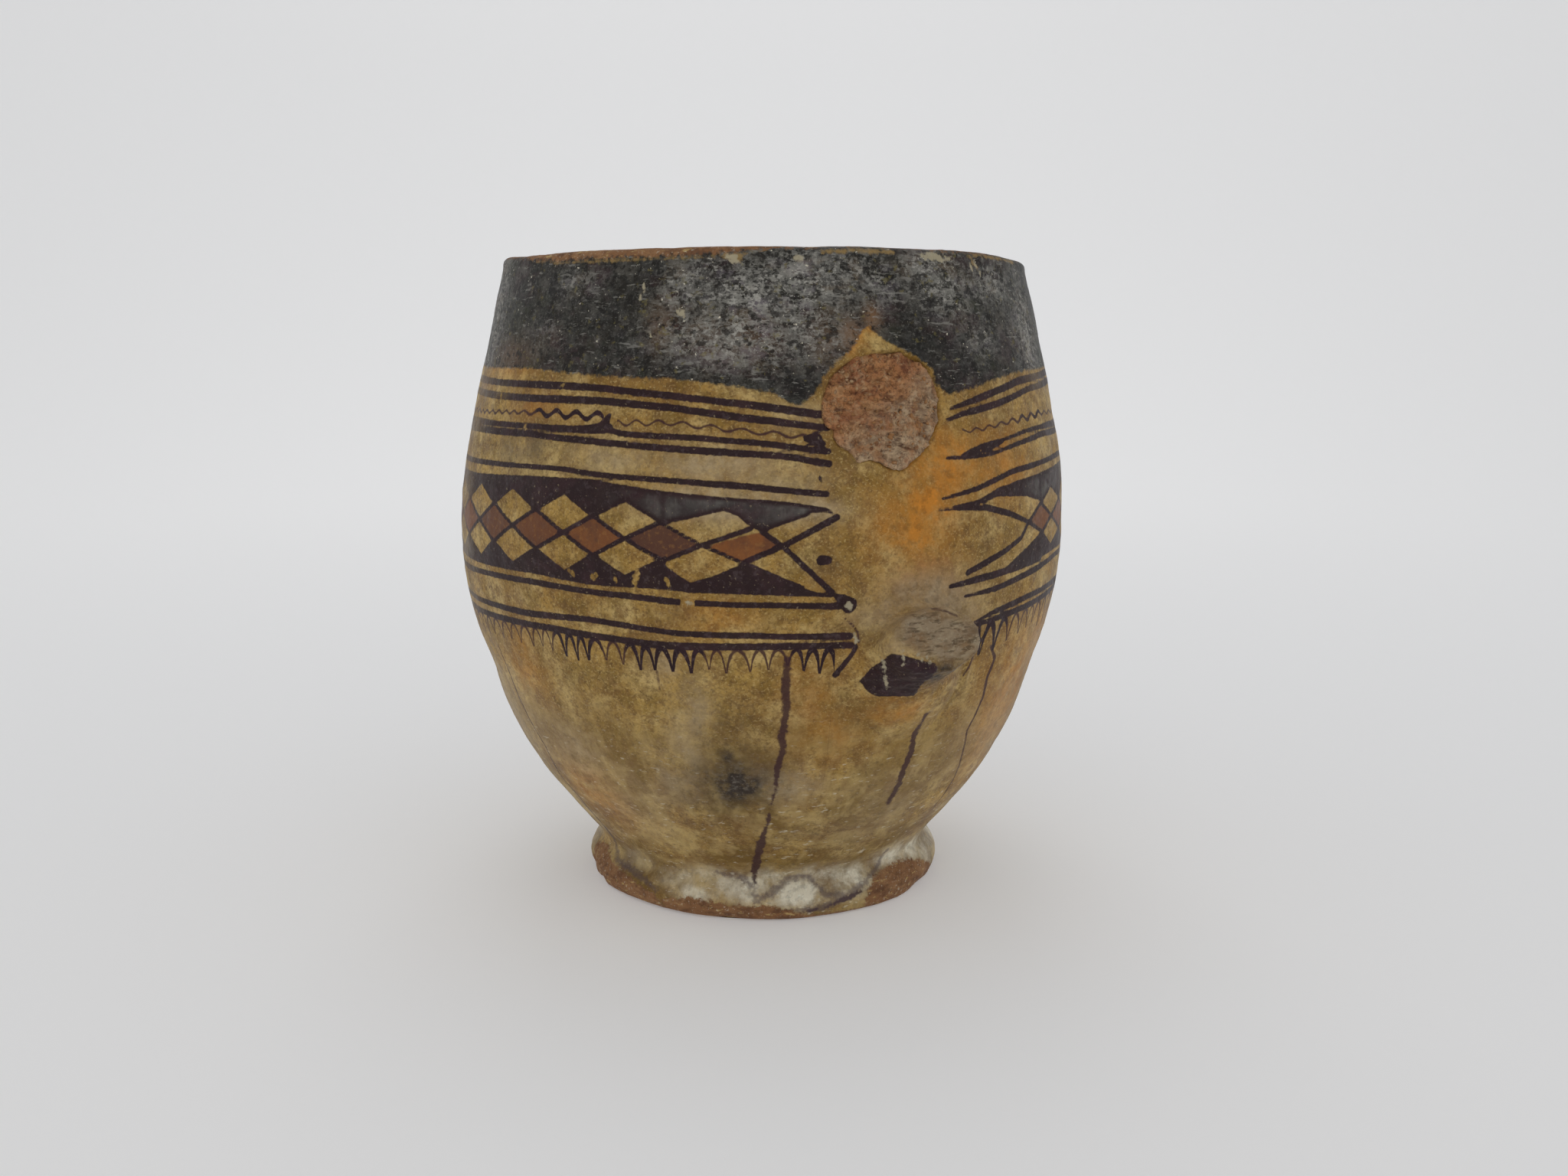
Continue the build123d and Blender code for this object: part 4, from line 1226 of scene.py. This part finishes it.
def wavy_stroke(tree, fields):
    """Distance outside the wavy line between the second and the third line."""
    wave = add(tree, "ShaderNodeMath", {0: fields["wave_turn"]}, operation="SINE")
    wave = add(tree, "ShaderNodeMath", {0: fields["wave_up"], 1: wave}, operation="SUBTRACT")
    wave = add(tree, "ShaderNodeMath", {0: wave}, operation="ABSOLUTE")
    wave = add(tree, "ShaderNodeMath", {0: wave, 1: fields["wave_swing"]}, operation="MULTIPLY")
    return add(tree, "ShaderNodeMath", {0: wave, 1: fields["wave_half"]}, operation="SUBTRACT")


@functools.lru_cache(maxsize=None)
def painted_slip():
    """Low-fired clay under a burnished ochre slip, painted with iron and manganese and long in use."""
    # To the eye: warm mottled ochre with a soft sheen on the burnish, solid purple-black brush lines,
    # a black neck scuffed grey, painted sheen at its edges, and bare gritty clay where the slip is gone.
    look = bpy.context.scene.pot_look
    material, tree, place = material_start("burnished ochre slip, painted")
    grain, blotch = (
        add(
            tree, "ShaderNodeTexNoise",
            {"Vector": place, "Scale": 1 / size, "Detail": detail, "Roughness": uneven})
        for size, detail, uneven in ((1.3, 3.0, 0.6), (6, 5.0, 0.65)))
    ragged = add(tree, "ShaderNodeMath", {0: grain, 1: 0.5}, operation="SUBTRACT")
    names = (
        "flush", "worn", "ash_and_sheen", "stain", "cream", "rub_and_sheen", "tone", "red", "brown", "drip", "scallop", "black",
        "neck", "lip", "flake", "bare", "nub", "arch_along", "arch_up", "arch_half", "wave_up", "wave_swing",
        "wave_turn", "wave_half")
    fields = {name: add(tree, "ShaderNodeAttribute", attribute_name=name).outputs["Fac"] for name in names}
    colour = slip_clouds(tree, place, slip_ground(tree, place), fields, blotch)
    red = red_ochre(tree, place, fields)
    black = brush_paint(tree, place, fields)
    neck = neck_slip(tree, place, fields)

    # Fringe and wavy line are thin brown paint, and black where the brush was loaded
    for line, half in ((fringe_strokes(tree, fields), "arch_half"), (wavy_stroke(tree, fields), "wave_half")):
        dry = add(tree, "ShaderNodeMath", {0: fields[half], 1: -8.0, 2: 3.8}, operation="MULTIPLY_ADD")
        loaded = add(tree, "ShaderNodeMath", {0: line, 1: dry}, operation="MAXIMUM")
        for name, stroke in (("black", loaded), ("brown", line)):
            fields[name] = add(tree, "ShaderNodeMath", {0: fields[name], 1: stroke}, operation="MINIMUM")
    # The black is thinner where it is scuffed and where a painted sheen greys it
    rub_and_sheen_cover = add(tree, "ShaderNodeMath", {0: fields["rub_and_sheen"], 1: -0.55, 2: 0.98}, operation="MULTIPLY_ADD")

    # Each field is millimetres outside its mark, whose edge is made a little ragged
    masks = {}
    for name, tint, rag, soft, cover in (
        ("red", red, 0.8, 0.25, 0.95), ("brown", tuple(look.brown), 0.5, 0.22, 0.9),
        ("drip", tuple(look.drip), 1.9, 0.35, 0.88), ("scallop", tuple(look.scallop), 3.2, 0.7, 0.62),
        ("black", black, 0.6, 0.18, rub_and_sheen_cover), ("neck", neck, 2.2, 0.45, 0.98),
        ("lip", linear("#a0834f"), 2.2, 0.4, 0.78), ("flake", linear("#b5aa8e"), 2.4, 0.3, 0.85),
        ("bare", worn_through(tree, place), 3.4, 0.5, 1.0),
    ):
        edge = add(tree, "ShaderNodeMath", {0: ragged, 1: rag, 2: fields[name]}, operation="MULTIPLY_ADD")
        masks[name] = add(
            tree, "ShaderNodeMapRange", {"Value": edge, "From Min": soft, "From Max": -soft, "To Max": cover},
            interpolation_type="SMOOTHSTEP")
        colour = add(tree, "ShaderNodeMix", {0: masks[name], 6: colour, 7: tint}, data_type="RGBA")
    end = stump_end(tree, place)
    colour = add(tree, "ShaderNodeMix", {0: fields["nub"], 6: colour, 7: end}, data_type="RGBA")

    # The burnish is smoothest, the neck duller and bare clay roughest, and flakes and worn places lie lower
    rough = add(
        tree, "ShaderNodeMapRange",
        {"Value": blotch, "From Min": 0.35, "From Max": 0.65, "To Min": 0.42, "To Max": 0.60})
    for mask, dull in ((masks["neck"], 0.55), (masks["bare"], 0.9), (fields["nub"], 0.85)):
        rough = add(tree, "ShaderNodeMix", {0: mask, 2: rough, 3: dull}, data_type="FLOAT")
    relief = add(tree, "ShaderNodeMath", {0: blotch, 1: 1.2, 2: grain}, operation="MULTIPLY_ADD")
    for name, depth in (("bare", -1.2), ("flake", -0.6)):
        relief = add(tree, "ShaderNodeMath", {0: masks[name], 1: depth, 2: relief}, operation="MULTIPLY_ADD")
    material_end(tree, colour, rough, relief, 0.14)
    return material


@functools.lru_cache(maxsize=None)
def bare_clay():
    """Low-fired terracotta, smoothed inside by a wet hand."""
    # To the eye: dull red-brown with fine grit, level finger streaks and grey smoke clouds.
    look = bpy.context.scene.pot_look
    material, tree, place = material_start("low-fired terracotta, hand-smoothed")
    colour = layered(tree, place, tuple(look.clay), (
        (20, 2.4, 0.44, 0.62, 0.8, look.clay_pale), (36, 30, 0.48, 0.66, 0.75, "#5b4a3f"),
        (6, 5, 0.52, 0.66, 0.5, "#6b4433"), (1.2, 1.1, 0.50, 0.66, 0.6, "#4f3429"),
        (1.0, 0.9, 0.60, 0.70, 0.6, "#c09a78")))
    grit = add(
        tree, "ShaderNodeTexNoise", {"Vector": place, "Scale": 1 / 1.1, "Detail": 4.0, "Roughness": 0.7})
    material_end(tree, colour, 0.88, grit, 0.25)
    return material


@functools.lru_cache(maxsize=None)
def broken_clay():
    """Coarse terracotta broken across, with chalky lime left on one side of the break."""
    # To the eye: orange-brown crumb with painted shade in its hollows and painted highlights on its tops,
    # dark cracks, paler and greyer at the lower right, and a painted shadow along the edge.
    look = bpy.context.scene.pot_look
    material, tree, place = material_start("broken coarse terracotta")
    colour = layered(tree, place, tuple(look.break_clay), (
        (9, 7, 0.44, 0.60, 0.8, look.break_deep), (4, 3, 0.50, 0.64, 0.7, "#c79a6c"),
        (3, 2.4, 0.53, 0.64, 0.7, "#6d4433"), (1.2, 1.1, 0.52, 0.66, 0.55, "#5b3a29")))
    chalk = add(tree, "ShaderNodeAttribute", attribute_name="chalk").outputs["Fac"]
    pale = layered(tree, place, tuple(look.break_chalk), (
        (4, 3.5, 0.48, 0.62, 0.7, "#8c6f57"), (1.2, 1.1, 0.52, 0.66, 0.6, "#6a5140"),
        (1.0, 0.9, 0.58, 0.70, 0.6, "#cbb8a0")))
    lump = add(
        tree, "ShaderNodeTexNoise", {"Vector": place, "Scale": 1 / 5, "Detail": 4.0, "Roughness": 0.65})
    uneven = add(
        tree, "ShaderNodeMapRange",
        {"Value": lump, "From Min": 0.38, "From Max": 0.6, "To Min": 0.2, "To Max": 1.3})
    mask = add(tree, "ShaderNodeMath", {0: chalk, 1: uneven}, operation="MULTIPLY", use_clamp=True)
    colour = add(tree, "ShaderNodeMix", {0: mask, 6: colour, 7: pale}, data_type="RGBA")
    colour = layered(tree, place, colour, (
        (7, 2.6, 0.40, 0.32, 0.75, "#4d3026"), (2.2, 1.8, 0.37, 0.29, 0.7, "#43291f")))
    # Painted shadow along the edge of the break
    edge = add(tree, "ShaderNodeAttribute", attribute_name="edge").outputs["Fac"]
    colour = add(tree, "ShaderNodeMix", {0: edge, 6: colour, 7: linear("#4a2f20")}, data_type="RGBA")
    crumb_relief_and_shade = add(
        tree, "ShaderNodeTexNoise", {"Vector": place, "Scale": 1 / 2.6, "Detail": 6.0, "Roughness": 0.72})
    # Same noise as the bump: hollows painted darker and tops lighter, a painted shade and highlight
    for start, end, strength, tint in ((0.45, 0.35, 0.45, "#5d3823"), (0.52, 0.66, 0.6, "#e2bd92")):
        mask = add(
            tree, "ShaderNodeMapRange",
            {"Value": crumb_relief_and_shade, "From Min": start, "From Max": end, "To Max": strength})
        colour = add(tree, "ShaderNodeMix", {0: mask, 6: colour, 7: linear(tint)}, data_type="RGBA")
    crack = add(tree, "ShaderNodeMath", {0: lump, 1: 0.5}, operation="SUBTRACT")
    crack = add(tree, "ShaderNodeMath", {0: crack}, operation="ABSOLUTE")
    crack = add(
        tree, "ShaderNodeMapRange", {"Value": crack, "From Min": 0.014, "From Max": 0.0, "To Max": 0.55})
    colour = add(tree, "ShaderNodeMix", {0: crack, 6: colour, 7: linear("#4a2d20")}, data_type="RGBA")
    material_end(tree, colour, 0.95, crumb_relief_and_shade, 1.6, 0.1)
    return material


@functools.lru_cache(maxsize=None)
def temper():
    """Crushed stone and lime mixed into the clay."""
    # To the eye: dull grains from dark brown to sandy, each a little different.
    material, tree, place = material_start("crushed stone temper")
    colour = layered(tree, place, linear("#9a7049"), (
        (2.6, 2.6, 0.48, 0.60, 0.9, "#b39674"), (2.2, 2.2, 0.54, 0.62, 0.8, "#6b4834")))
    fine = add(tree, "ShaderNodeTexNoise", {"Vector": place, "Scale": 1 / 0.3, "Detail": 2.0})
    material_end(tree, colour, 0.85, fine, 0.08)
    return material


def depth_property(name, description, metres):
    """Depth setting in metres."""
    return bpy.props.FloatProperty(
        name=name, description=description, default=metres, min=0, precision=5, unit="LENGTH",
        subtype="DISTANCE")


def power_property(name, description, watts):
    """Lamp power setting in watts."""
    return bpy.props.FloatProperty(name=name, description=description, default=watts, min=0, unit="POWER")


def colour_property(name, description, code):
    """Colour setting whose default is an sRGB hex code."""
    return bpy.props.FloatVectorProperty(
        name=name, description=description, subtype="COLOR", size=4, min=0, max=1, default=linear(code))


class PotHand(bpy.types.PropertyGroup):
    """How unsteady the hand was that built the pot."""

    wobble: depth_property("Wobble", "Slow swelling of the wall out of round", 0.00055)
    pinch: depth_property("Pinch marks", "Depth of the marks of fingers and scraper", 0.00022)
    pit: depth_property("Pits", "Depth of small pits in the skin", 0.00006)
    grit: bpy.props.FloatProperty(
        name="Grit", description="Grains of temper on a square metre of broken clay", default=190000, min=0)
    seed: bpy.props.IntProperty(name="Seed", description="Choice of the unsteadiness", default=4)


class PotLook(bpy.types.PropertyGroup):
    """Colours of the slips, paints and clays."""

    slip: colour_property("Ochre slip", "Burnished slip", "#ba9750")
    slip_deep: colour_property("Deep ochre", "Slip where it is thin", "#a17a3c")
    slip_pale: colour_property("Pale ochre", "Slip where it is thick", "#d0b476")
    smudge: colour_property("Smudges", "Brown dirt in the slip", "#76542a")
    olive: colour_property("Olive", "Olive stain of the lower wall", "#795d22")
    flush: colour_property("Flush", "Slip reddened by the fire", "#c8822c")
    worn: colour_property("Worn slip", "Slip rubbed grey by hands", "#b09a79")
    # Pale grey of the clouds on the top of the stump
    ash_and_sheen: colour_property("Ash haze", "Pale ash on the slip", "#b8a27d")
    # Pale ash, and the colour of the painted sheen on the slip
    soot_and_shade: colour_property("Smoke", "Smoke cloud of the fire", "#3a3028")
    # Smoke, and the colour of the painted shadow under the stump
    black: colour_property("Paint", "Purple-black brush paint", "#27141a")
    # Dark paint greyed by ash and by a painted sheen
    black_ash_and_sheen: colour_property("Dusty paint", "Brush paint under ash", "#4a4644")
    brown: colour_property("Thin paint", "Paint in thin strokes", "#3f2226")
    drip: colour_property("Drips", "Paint that ran down", "#3c2027")
    scallop: colour_property("Foot line", "Faded line of paint round the foot", "#57484c")
    red: colour_property("Red ochre", "Red lozenges", "#8a5228")
    red_deep: colour_property("Deep red", "Dark red lozenges", "#54342b")
    neck: colour_property("Neck", "Black slip of the neck", "#181a1a")
    neck_worn: colour_property("Worn neck", "Black slip rubbed grey", "#94928a")
    cream: colour_property("Cream slip", "Thick pale slip at the foot", "#ebe3cc")
    clay: colour_property("Clay", "Bare low-fired clay", "#8c6545")
    clay_pale: colour_property("Pale clay", "Bare clay where it is dry", "#a27b57")
    break_clay: colour_property("Broken clay", "Clay of the upper break", "#c98f5f")
    break_deep: colour_property("Deep broken clay", "Darker clay of the upper break", "#a56a4a")
    break_chalk: colour_property("Chalky clay", "Pale clay of the upper break", "#d3b794")


class PotStage(bpy.types.PropertyGroup):
    """Floor and light of the studio."""

    paper: colour_property("Paper", "Floor and backdrop", "#e4e4e4")
    lamp: power_property("Back lamp", "Power of the high lamp behind the pot", 3.2)
    fill: power_property("Front lamp", "Power of the soft lamp in front", 2.4)
    backdrop: power_property("Backdrop lamp", "Power of the lamp on the backdrop", 5.4)
    sky: bpy.props.FloatProperty(
        name="Sky", description="Strength of the even light all round", default=0.44, min=0)
    glow: bpy.props.FloatProperty(
        name="Glow", description="Light that comes through the paper from behind it", default=0.265, min=0)


class POT_OT_base_disc(bpy.types.Operator):
    """Makes the floor of the pot, flat under the foot and hand-smoothed inside"""

    bl_idname = "pot.base_disc"
    bl_label = "Floor Disc"

    def execute(self, context):
        whole = shaped_skin()
        marks = whole.marks
        wedge = level_rings(whole.phi[0], (
            (FLOOR_BOTTOM_RADIUS + 1, 3.0), (FLOOR_TOP_RADIUS - 0.4, WAIST_HEIGHT - 1),
            (FLOOR_TOP_RADIUS, WAIST_HEIGHT - 0.1), (FLOOR_TOP_RADIUS - 5, WAIST_HEIGHT - 0.05)))
        under, inside = whole.points[:marks["floor_edge"] + 1], whole.points[marks["floor_in"]:]
        mesh = capped("floor_disc", np.concatenate((under, wedge, inside)))
        mesh.materials.append(bare_clay())
        mesh.set_sharp_from_angle(angle=math.radians(50))
        finish_piece(linked("floor_disc", mesh), "raw_clay", "base_disc")
        return {"FINISHED"}


class POT_OT_foot_ring(bpy.types.Operator):
    """Makes the foot coil, smeared with cream slip and worn to the clay"""

    bl_idname = "pot.foot_ring"
    bl_label = "Foot Coil"

    def execute(self, context):
        whole = shaped_skin()
        marks = whole.marks
        joint = level_rings(whole.phi[0], (
            (FLOOR_TOP_RADIUS + 2.4, WAIST_HEIGHT - 0.05), (FLOOR_TOP_RADIUS + 0.1, WAIST_HEIGHT - 0.1),
            (FLOOR_BOTTOM_RADIUS + 1.1, 3.0)))
        runs = [(marks["floor_edge"], marks["waist"], joint)]
        piece = ring_piece("foot_coil", whole, runs, (painted_slip(), bare_clay()))
        finish_piece(piece, "ochre_slip", "foot_ring")
        return {"FINISHED"}


class POT_OT_wall_courses(bpy.types.Operator):
    """Makes the three wall courses, painted outside and bare inside, on bevelled joints"""

    bl_idname = "pot.wall_courses"
    bl_label = "Wall Courses"

    def execute(self, context):
        whole = shaped_skin()
        marks, points = whole.marks, whole.points
        for name, node, low, high in (
            ("lower_course", "lower_wall", "waist", "flank"),
            ("belly_course", "belly_wall", "flank", "belly"),
            ("shoulder_course", "shoulder_wall", "belly", "neck"),
        ):
            low_in = marks["floor_in" if low == "waist" else low + "_in"]
            high_in = marks[high + "_in"]
            runs = [
                (marks[low], marks[high], between(points[marks[high]], points[high_in], 2)),
                (high_in, low_in, between(points[low_in], points[marks[low]], 2)),
            ]
            piece = ring_piece(name, whole, runs, (painted_slip(), bare_clay()))
            finish_piece(piece, "ochre_slip", node)
        return {"FINISHED"}


class POT_OT_rim_coil(bpy.types.Operator):
    """Makes the rim coil with its worn rounded lip"""

    bl_idname = "pot.rim_coil"
    bl_label = "Rim Coil"

    def execute(self, context):
        whole = shaped_skin()
        marks, points = whole.marks, whole.points
        joint = between(points[marks["neck_in"]], points[marks["neck"]], 2)
        piece = ring_piece(
            "rim", whole, [(marks["neck"], marks["neck_in"], joint)], (painted_slip(), bare_clay()))
        finish_piece(piece, "black_slip", "rim_coil")
        return {"FINISHED"}


class POT_OT_upper_root(bpy.types.Operator):
    """Makes the rough break of the upper handle root, let into the wall"""

    bl_idname = "pot.upper_root"
    bl_label = "Upper Handle Root"

    def execute(self, context):
        around, rings = 240, 46
        outline = np.array(SCAR)
        flat = np.stack(((outline[:, 0] - SCAR_CENTRE[0]) * ARC * outer_radius(outline[:, 1]),
                         outline[:, 1] - SCAR_CENTRE[1]), -1)
        angles = np.arctan2(flat[:, 1], flat[:, 0])
        order = np.argsort(angles)
        theta = np.arange(around) * 2 * math.pi / around - math.pi
        edge = np.interp(theta, angles[order], np.hypot(*flat[order].T), period=2 * math.pi)
        share = np.concatenate((np.linspace(0.012, 0.94, rings), (0.965, 0.985, 1.0, 1.01, 0.9, 0.4)))
        share = share[:, None]
        reach = share * edge
        inward = edge - reach
        side = proud_side(theta)
        lift = 0.45 * (1 - share**2) - 0.45 * side * smooth_step(0.3, 0.95, share)
        lift = lift - 1.0 * smooth_step(1.0, -0.1, inward)
        lift[-3:] = np.array((-1.9, -3.0, -3.0))[:, None]
        across, up = reach * np.cos(theta), reach * np.sin(theta)
        z = SCAR_CENTRE[1] + up
        phi = SCAR_CENTRE[0] + across / (ARC * outer_radius(z))
        mesh = capped("upper_root_break", on_wall(phi, z, lift), flipped=True)
        top = np.repeat(smooth_step(1.0, 0.93, share), around, 1).ravel()
        broken = np.repeat(share < 0.9, around, 1).ravel()
        chalk = smooth_step(-5, 6, across * 0.6 - up * 0.9).ravel()
        # Painted shadow along the inside of the break's edge, deepest under the proud slip at the upper left
        painted_edge_shadow = (smooth_step(1.0, 0.1, inward) * (0.1 + 0.5 * side)).ravel()
        store(mesh, {
            "give": np.append(top, (1, 0)), "broken": np.append(broken, (1, 0)),
            "chalk": np.append(chalk, (0, 0)), "edge": np.append(painted_edge_shadow, (0, 0))})
        rough = roughened(
            mesh, depths=(0.0010, 0.0015, 0.0004), sizes=(0.008, 0.0042, 0.0012), seed=2, clay=broken_clay())
        finish_piece(linked("upper_root_break", rough), "broken_clay", "upper_handle_root")
        return {"FINISHED"}


class POT_OT_grit(bpy.types.Operator):
    """Beds grains of temper in the upper break"""

    bl_idname = "pot.grit"
    bl_label = "Temper Grit"

    def execute(self, context):
        blank = linked("grit blank", bpy.data.objects["upper_root_break"].data.copy())
        grains = formed(blank, grit_scatter(), {
            "Density": context.scene.pot_hand.grit, "Smallest": 0.00022, "Largest": 0.0007, "Seed": 5,
            "Stone": temper()})
        discard(blank)
        grains.shade_smooth()
        finish_piece(linked("temper_grit", grains), "broken_clay")
        return {"FINISHED"}


class POT_OT_lower_root(bpy.types.Operator):
    """Makes the worn stump of the lower handle root, flared into the wall"""

    bl_idname = "pot.lower_root"
    bl_label = "Lower Handle Root"

    def execute(self, context):
        around, rings = 220, 96
        theta = np.arange(around) * 2 * math.pi / around
        share = np.linspace(0, 1, rings)[:, None]
        # Stations from the flare on the wall to the worn end: how far along, sideways, up, out,
        # half width, half height and lean
        stations = np.array((
            (0.00, 1.6, -3.5, -0.35, 19.5, 20.5, 0), (0.10, 1.5, -2.8, 0.35, 17.0, 18.0, 0),
            (0.24, 1.3, -1.2, 1.7, 14.2, 14.6, 4), (0.40, 1.2, 0.8, 4.0, 12.2, 11.4, 9),
            (0.55, 1.2, 2.6, 7.0, 11.3, 9.6, 15), (0.68, 1.3, 4.2, 10.2, 11.0, 8.6, 20),
            (0.76, 1.4, 5.0, 12.2, 10.8, 8.2, 22), (0.80, 1.4, 5.3, 12.9, 10.3, 7.8, 22),
            (0.84, 1.4, 5.5, 13.3, 9.1, 6.8, 22), (1.00, 1.5, 5.8, 14.0, 0.3, 0.2, 22)))
        along = stations[:, 0]
        kernel = np.hanning(9) / np.hanning(9).sum()
        keep = smooth_step(0.9, 1.0, share[:, 0])
        soft = []
        for column in stations[:, 1:].T:
            plain = np.interp(share[:, 0], along, column)
            eased = np.convolve(np.pad(plain, 4, mode="edge"), kernel, mode="valid")
            soft.append((eased * (1 - keep) + plain * keep)[:, None])
        sideways, rise, out, wide, high, lean = soft
        tilt = np.radians(lean)
        drag = smooth_step(0.5, 0.0, share) * np.clip(np.cos(theta + math.radians(62)), 0, 1) ** 2
        across = sideways + (wide + 3.5 * drag) * np.cos(theta)
        up = rise + (high + 5.0 * drag) * np.sin(theta) * np.cos(tilt)
        lift = out - high * np.sin(theta) * np.sin(tilt) + 0.5 * drag * smooth_step(0.0, 0.25, share)
        per_degree = ARC * outer_radius(STUMP_LEVEL)
        z = STUMP_LEVEL + up
        phi = STUMP_ANGLE + across / per_degree
        mesh = capped("lower_root_stump", on_wall(phi, z, lift))
        # The brush ran over the stump from the left and above, so its marks lie farther right and lower
        brushed_phi = np.append((phi + 0.45 * lift / per_degree).ravel(), (STUMP_ANGLE, STUMP_ANGLE))
        brushed_z = np.append((z - 0.23 * lift).ravel(), (STUMP_LEVEL, STUMP_LEVEL))
        fields = paint(brushed_phi, brushed_z)
        nub = np.full(brushed_phi.shape, FAR)
        filled_outline(nub, brushed_phi, brushed_z, NUB)
        off_wall, give = (
            np.append((smooth_step(start, end, share) + 0 * theta).ravel(), (0, 1))
            for start, end in ((0.3, 0.6), (0.0, 0.35)))
        fields["nub"] = 0.92 * smooth_step(1.6, -2.2, nub) * off_wall
        fields["bare"] = np.full(nub.shape, FAR)
        fields["give"] = give
        store(mesh, fields)
        worn = roughened(
            mesh, depths=(0.0006, 0.00035, 0.00012), sizes=(0.011, 0.0045, 0.0012), seed=9,
            clay=painted_slip())
        finish_piece(linked("lower_root_stump", worn), "worn_clay", "lower_handle_root")
        return {"FINISHED"}


class POT_OT_stage(bpy.types.Operator):
    """Sets a pale paper cove, soft light and the camera"""

    bl_idname = "pot.stage"
    bl_label = "Studio"

    def execute(self, context):
        scene = context.scene
        stage = scene.pot_stage
        # The paper lies flat under the pot and sweeps up into a wall, in millimetres
        around, flat, sweep, rise, below = 128, 1200, 1600, 1250, 0.1
        turn = np.linspace(0, math.pi / 2, 32)
        radius = np.concatenate(((10, 400, 800), flat + sweep * np.sin(turn)))
        height = np.concatenate(((0, 0, 0), rise - rise * np.cos(turn))) - below
        points = level_rings(np.arange(around) * 360 / around, zip(radius, height))
        mesh = bpy.data.meshes.new("paper_cove")
        faces = grid_faces(len(radius), around)[:, ::-1].tolist() + [tuple(range(around))]
        mesh.from_pydata(points.reshape(-1, 3).tolist(), [], faces)
        mesh.shade_smooth()
        paper = bpy.data.materials.new("matt studio paper")
        paper.use_nodes = True
        surface = paper.node_tree.nodes["Principled BSDF"]
        for name, value in (
            ("Base Color", tuple(stage.paper)), ("Roughness", 1.0), ("Specular IOR Level", 0.0),
            ("Emission Color", tuple(stage.paper)), ("Emission Strength", stage.glow),
        ):
            surface.inputs[name].default_value = value
        mesh.materials.append(paper)
        linked("paper_cove", mesh)

        sky = bpy.data.worlds.new("even sky")
        sky.use_nodes = True
        sky.node_tree.nodes["Background"].inputs["Color"].default_value = (0.97, 0.98, 1.0, 1.0)
        sky.node_tree.nodes["Background"].inputs["Strength"].default_value = stage.sky
        scene.world = sky
        for name, place, aim, size, power in (
            ("back lamp", (0.2, 0.85, 1.7), (0, 0, 0.1), 1.0, stage.lamp),
            ("front lamp", (-0.3, -0.9, 1.3), (0, 0, 0.1), 1.4, stage.fill),
            ("backdrop lamp", (0.35, 0.95, 1.6), (0.95, 2.6, 0.5), 1.0, stage.backdrop),
        ):
            lamp = bpy.data.lights.new(name, "AREA")
            lamp.size = size
            lamp.energy = power
            holder = bpy.data.objects.new(name, lamp)
            holder.location = place
            holder.rotation_euler = (Vector(aim) - Vector(place)).to_track_quat("-Z", "Y").to_euler()
            scene.collection.objects.link(holder)

        lens = bpy.data.cameras.new("studio camera")
        lens.sensor_width = 36.0
        lens.lens = CAMERA_LENS
        lens.clip_start = 0.01
        camera = bpy.data.objects.new("studio camera", lens)
        side = math.radians(CAMERA_SIDE)
        camera.location = (CAMERA_DISTANCE * math.sin(side), -CAMERA_DISTANCE * math.cos(side), CAMERA_HEIGHT)
        camera.rotation_euler = (math.radians(90 - CAMERA_DOWN), 0, math.radians(CAMERA_TURN))
        scene.collection.objects.link(camera)
        scene.camera = camera
        scene.view_settings.view_transform = "Standard"
        return {"FINISHED"}


class POT_PT_sidebar(bpy.types.Panel):
    """Settings and pieces of the painted drinking pot"""

    bl_idname = "POT_PT_sidebar"
    bl_label = "Painted Drinking Pot"
    bl_space_type = "VIEW_3D"
    bl_region_type = "UI"
    bl_category = "Pot"

    def draw(self, context):
        for group in (context.scene.pot_hand, context.scene.pot_look, context.scene.pot_stage):
            box = self.layout.box()
            for name in group.__annotations__:
                box.prop(group, name)
        for operator in PIECES:
            self.layout.operator(operator.bl_idname)


PIECES = (
    POT_OT_base_disc, POT_OT_foot_ring, POT_OT_wall_courses, POT_OT_rim_coil, POT_OT_upper_root, POT_OT_grit,
    POT_OT_lower_root, POT_OT_stage)
GROUPS = {"pot_hand": PotHand, "pot_look": PotLook, "pot_stage": PotStage}


def register():
    for group in GROUPS.values():
        bpy.utils.register_class(group)
    for name, group in GROUPS.items():
        setattr(bpy.types.Scene, name, bpy.props.PointerProperty(type=group))
    for item in PIECES + (POT_PT_sidebar,):
        bpy.utils.register_class(item)


def unregister():
    for item in reversed(PIECES + (POT_PT_sidebar,)):
        bpy.utils.unregister_class(item)
    for name in GROUPS:
        delattr(bpy.types.Scene, name)
    for group in reversed(GROUPS.values()):
        bpy.utils.unregister_class(group)


def main():
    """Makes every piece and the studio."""
    register()
    bpy.ops.pot.base_disc()
    bpy.ops.pot.foot_ring()
    bpy.ops.pot.wall_courses()
    bpy.ops.pot.rim_coil()
    bpy.ops.pot.upper_root()
    bpy.ops.pot.grit()
    bpy.ops.pot.lower_root()
    bpy.ops.pot.stage()


if __name__ == "__main__":
    main()
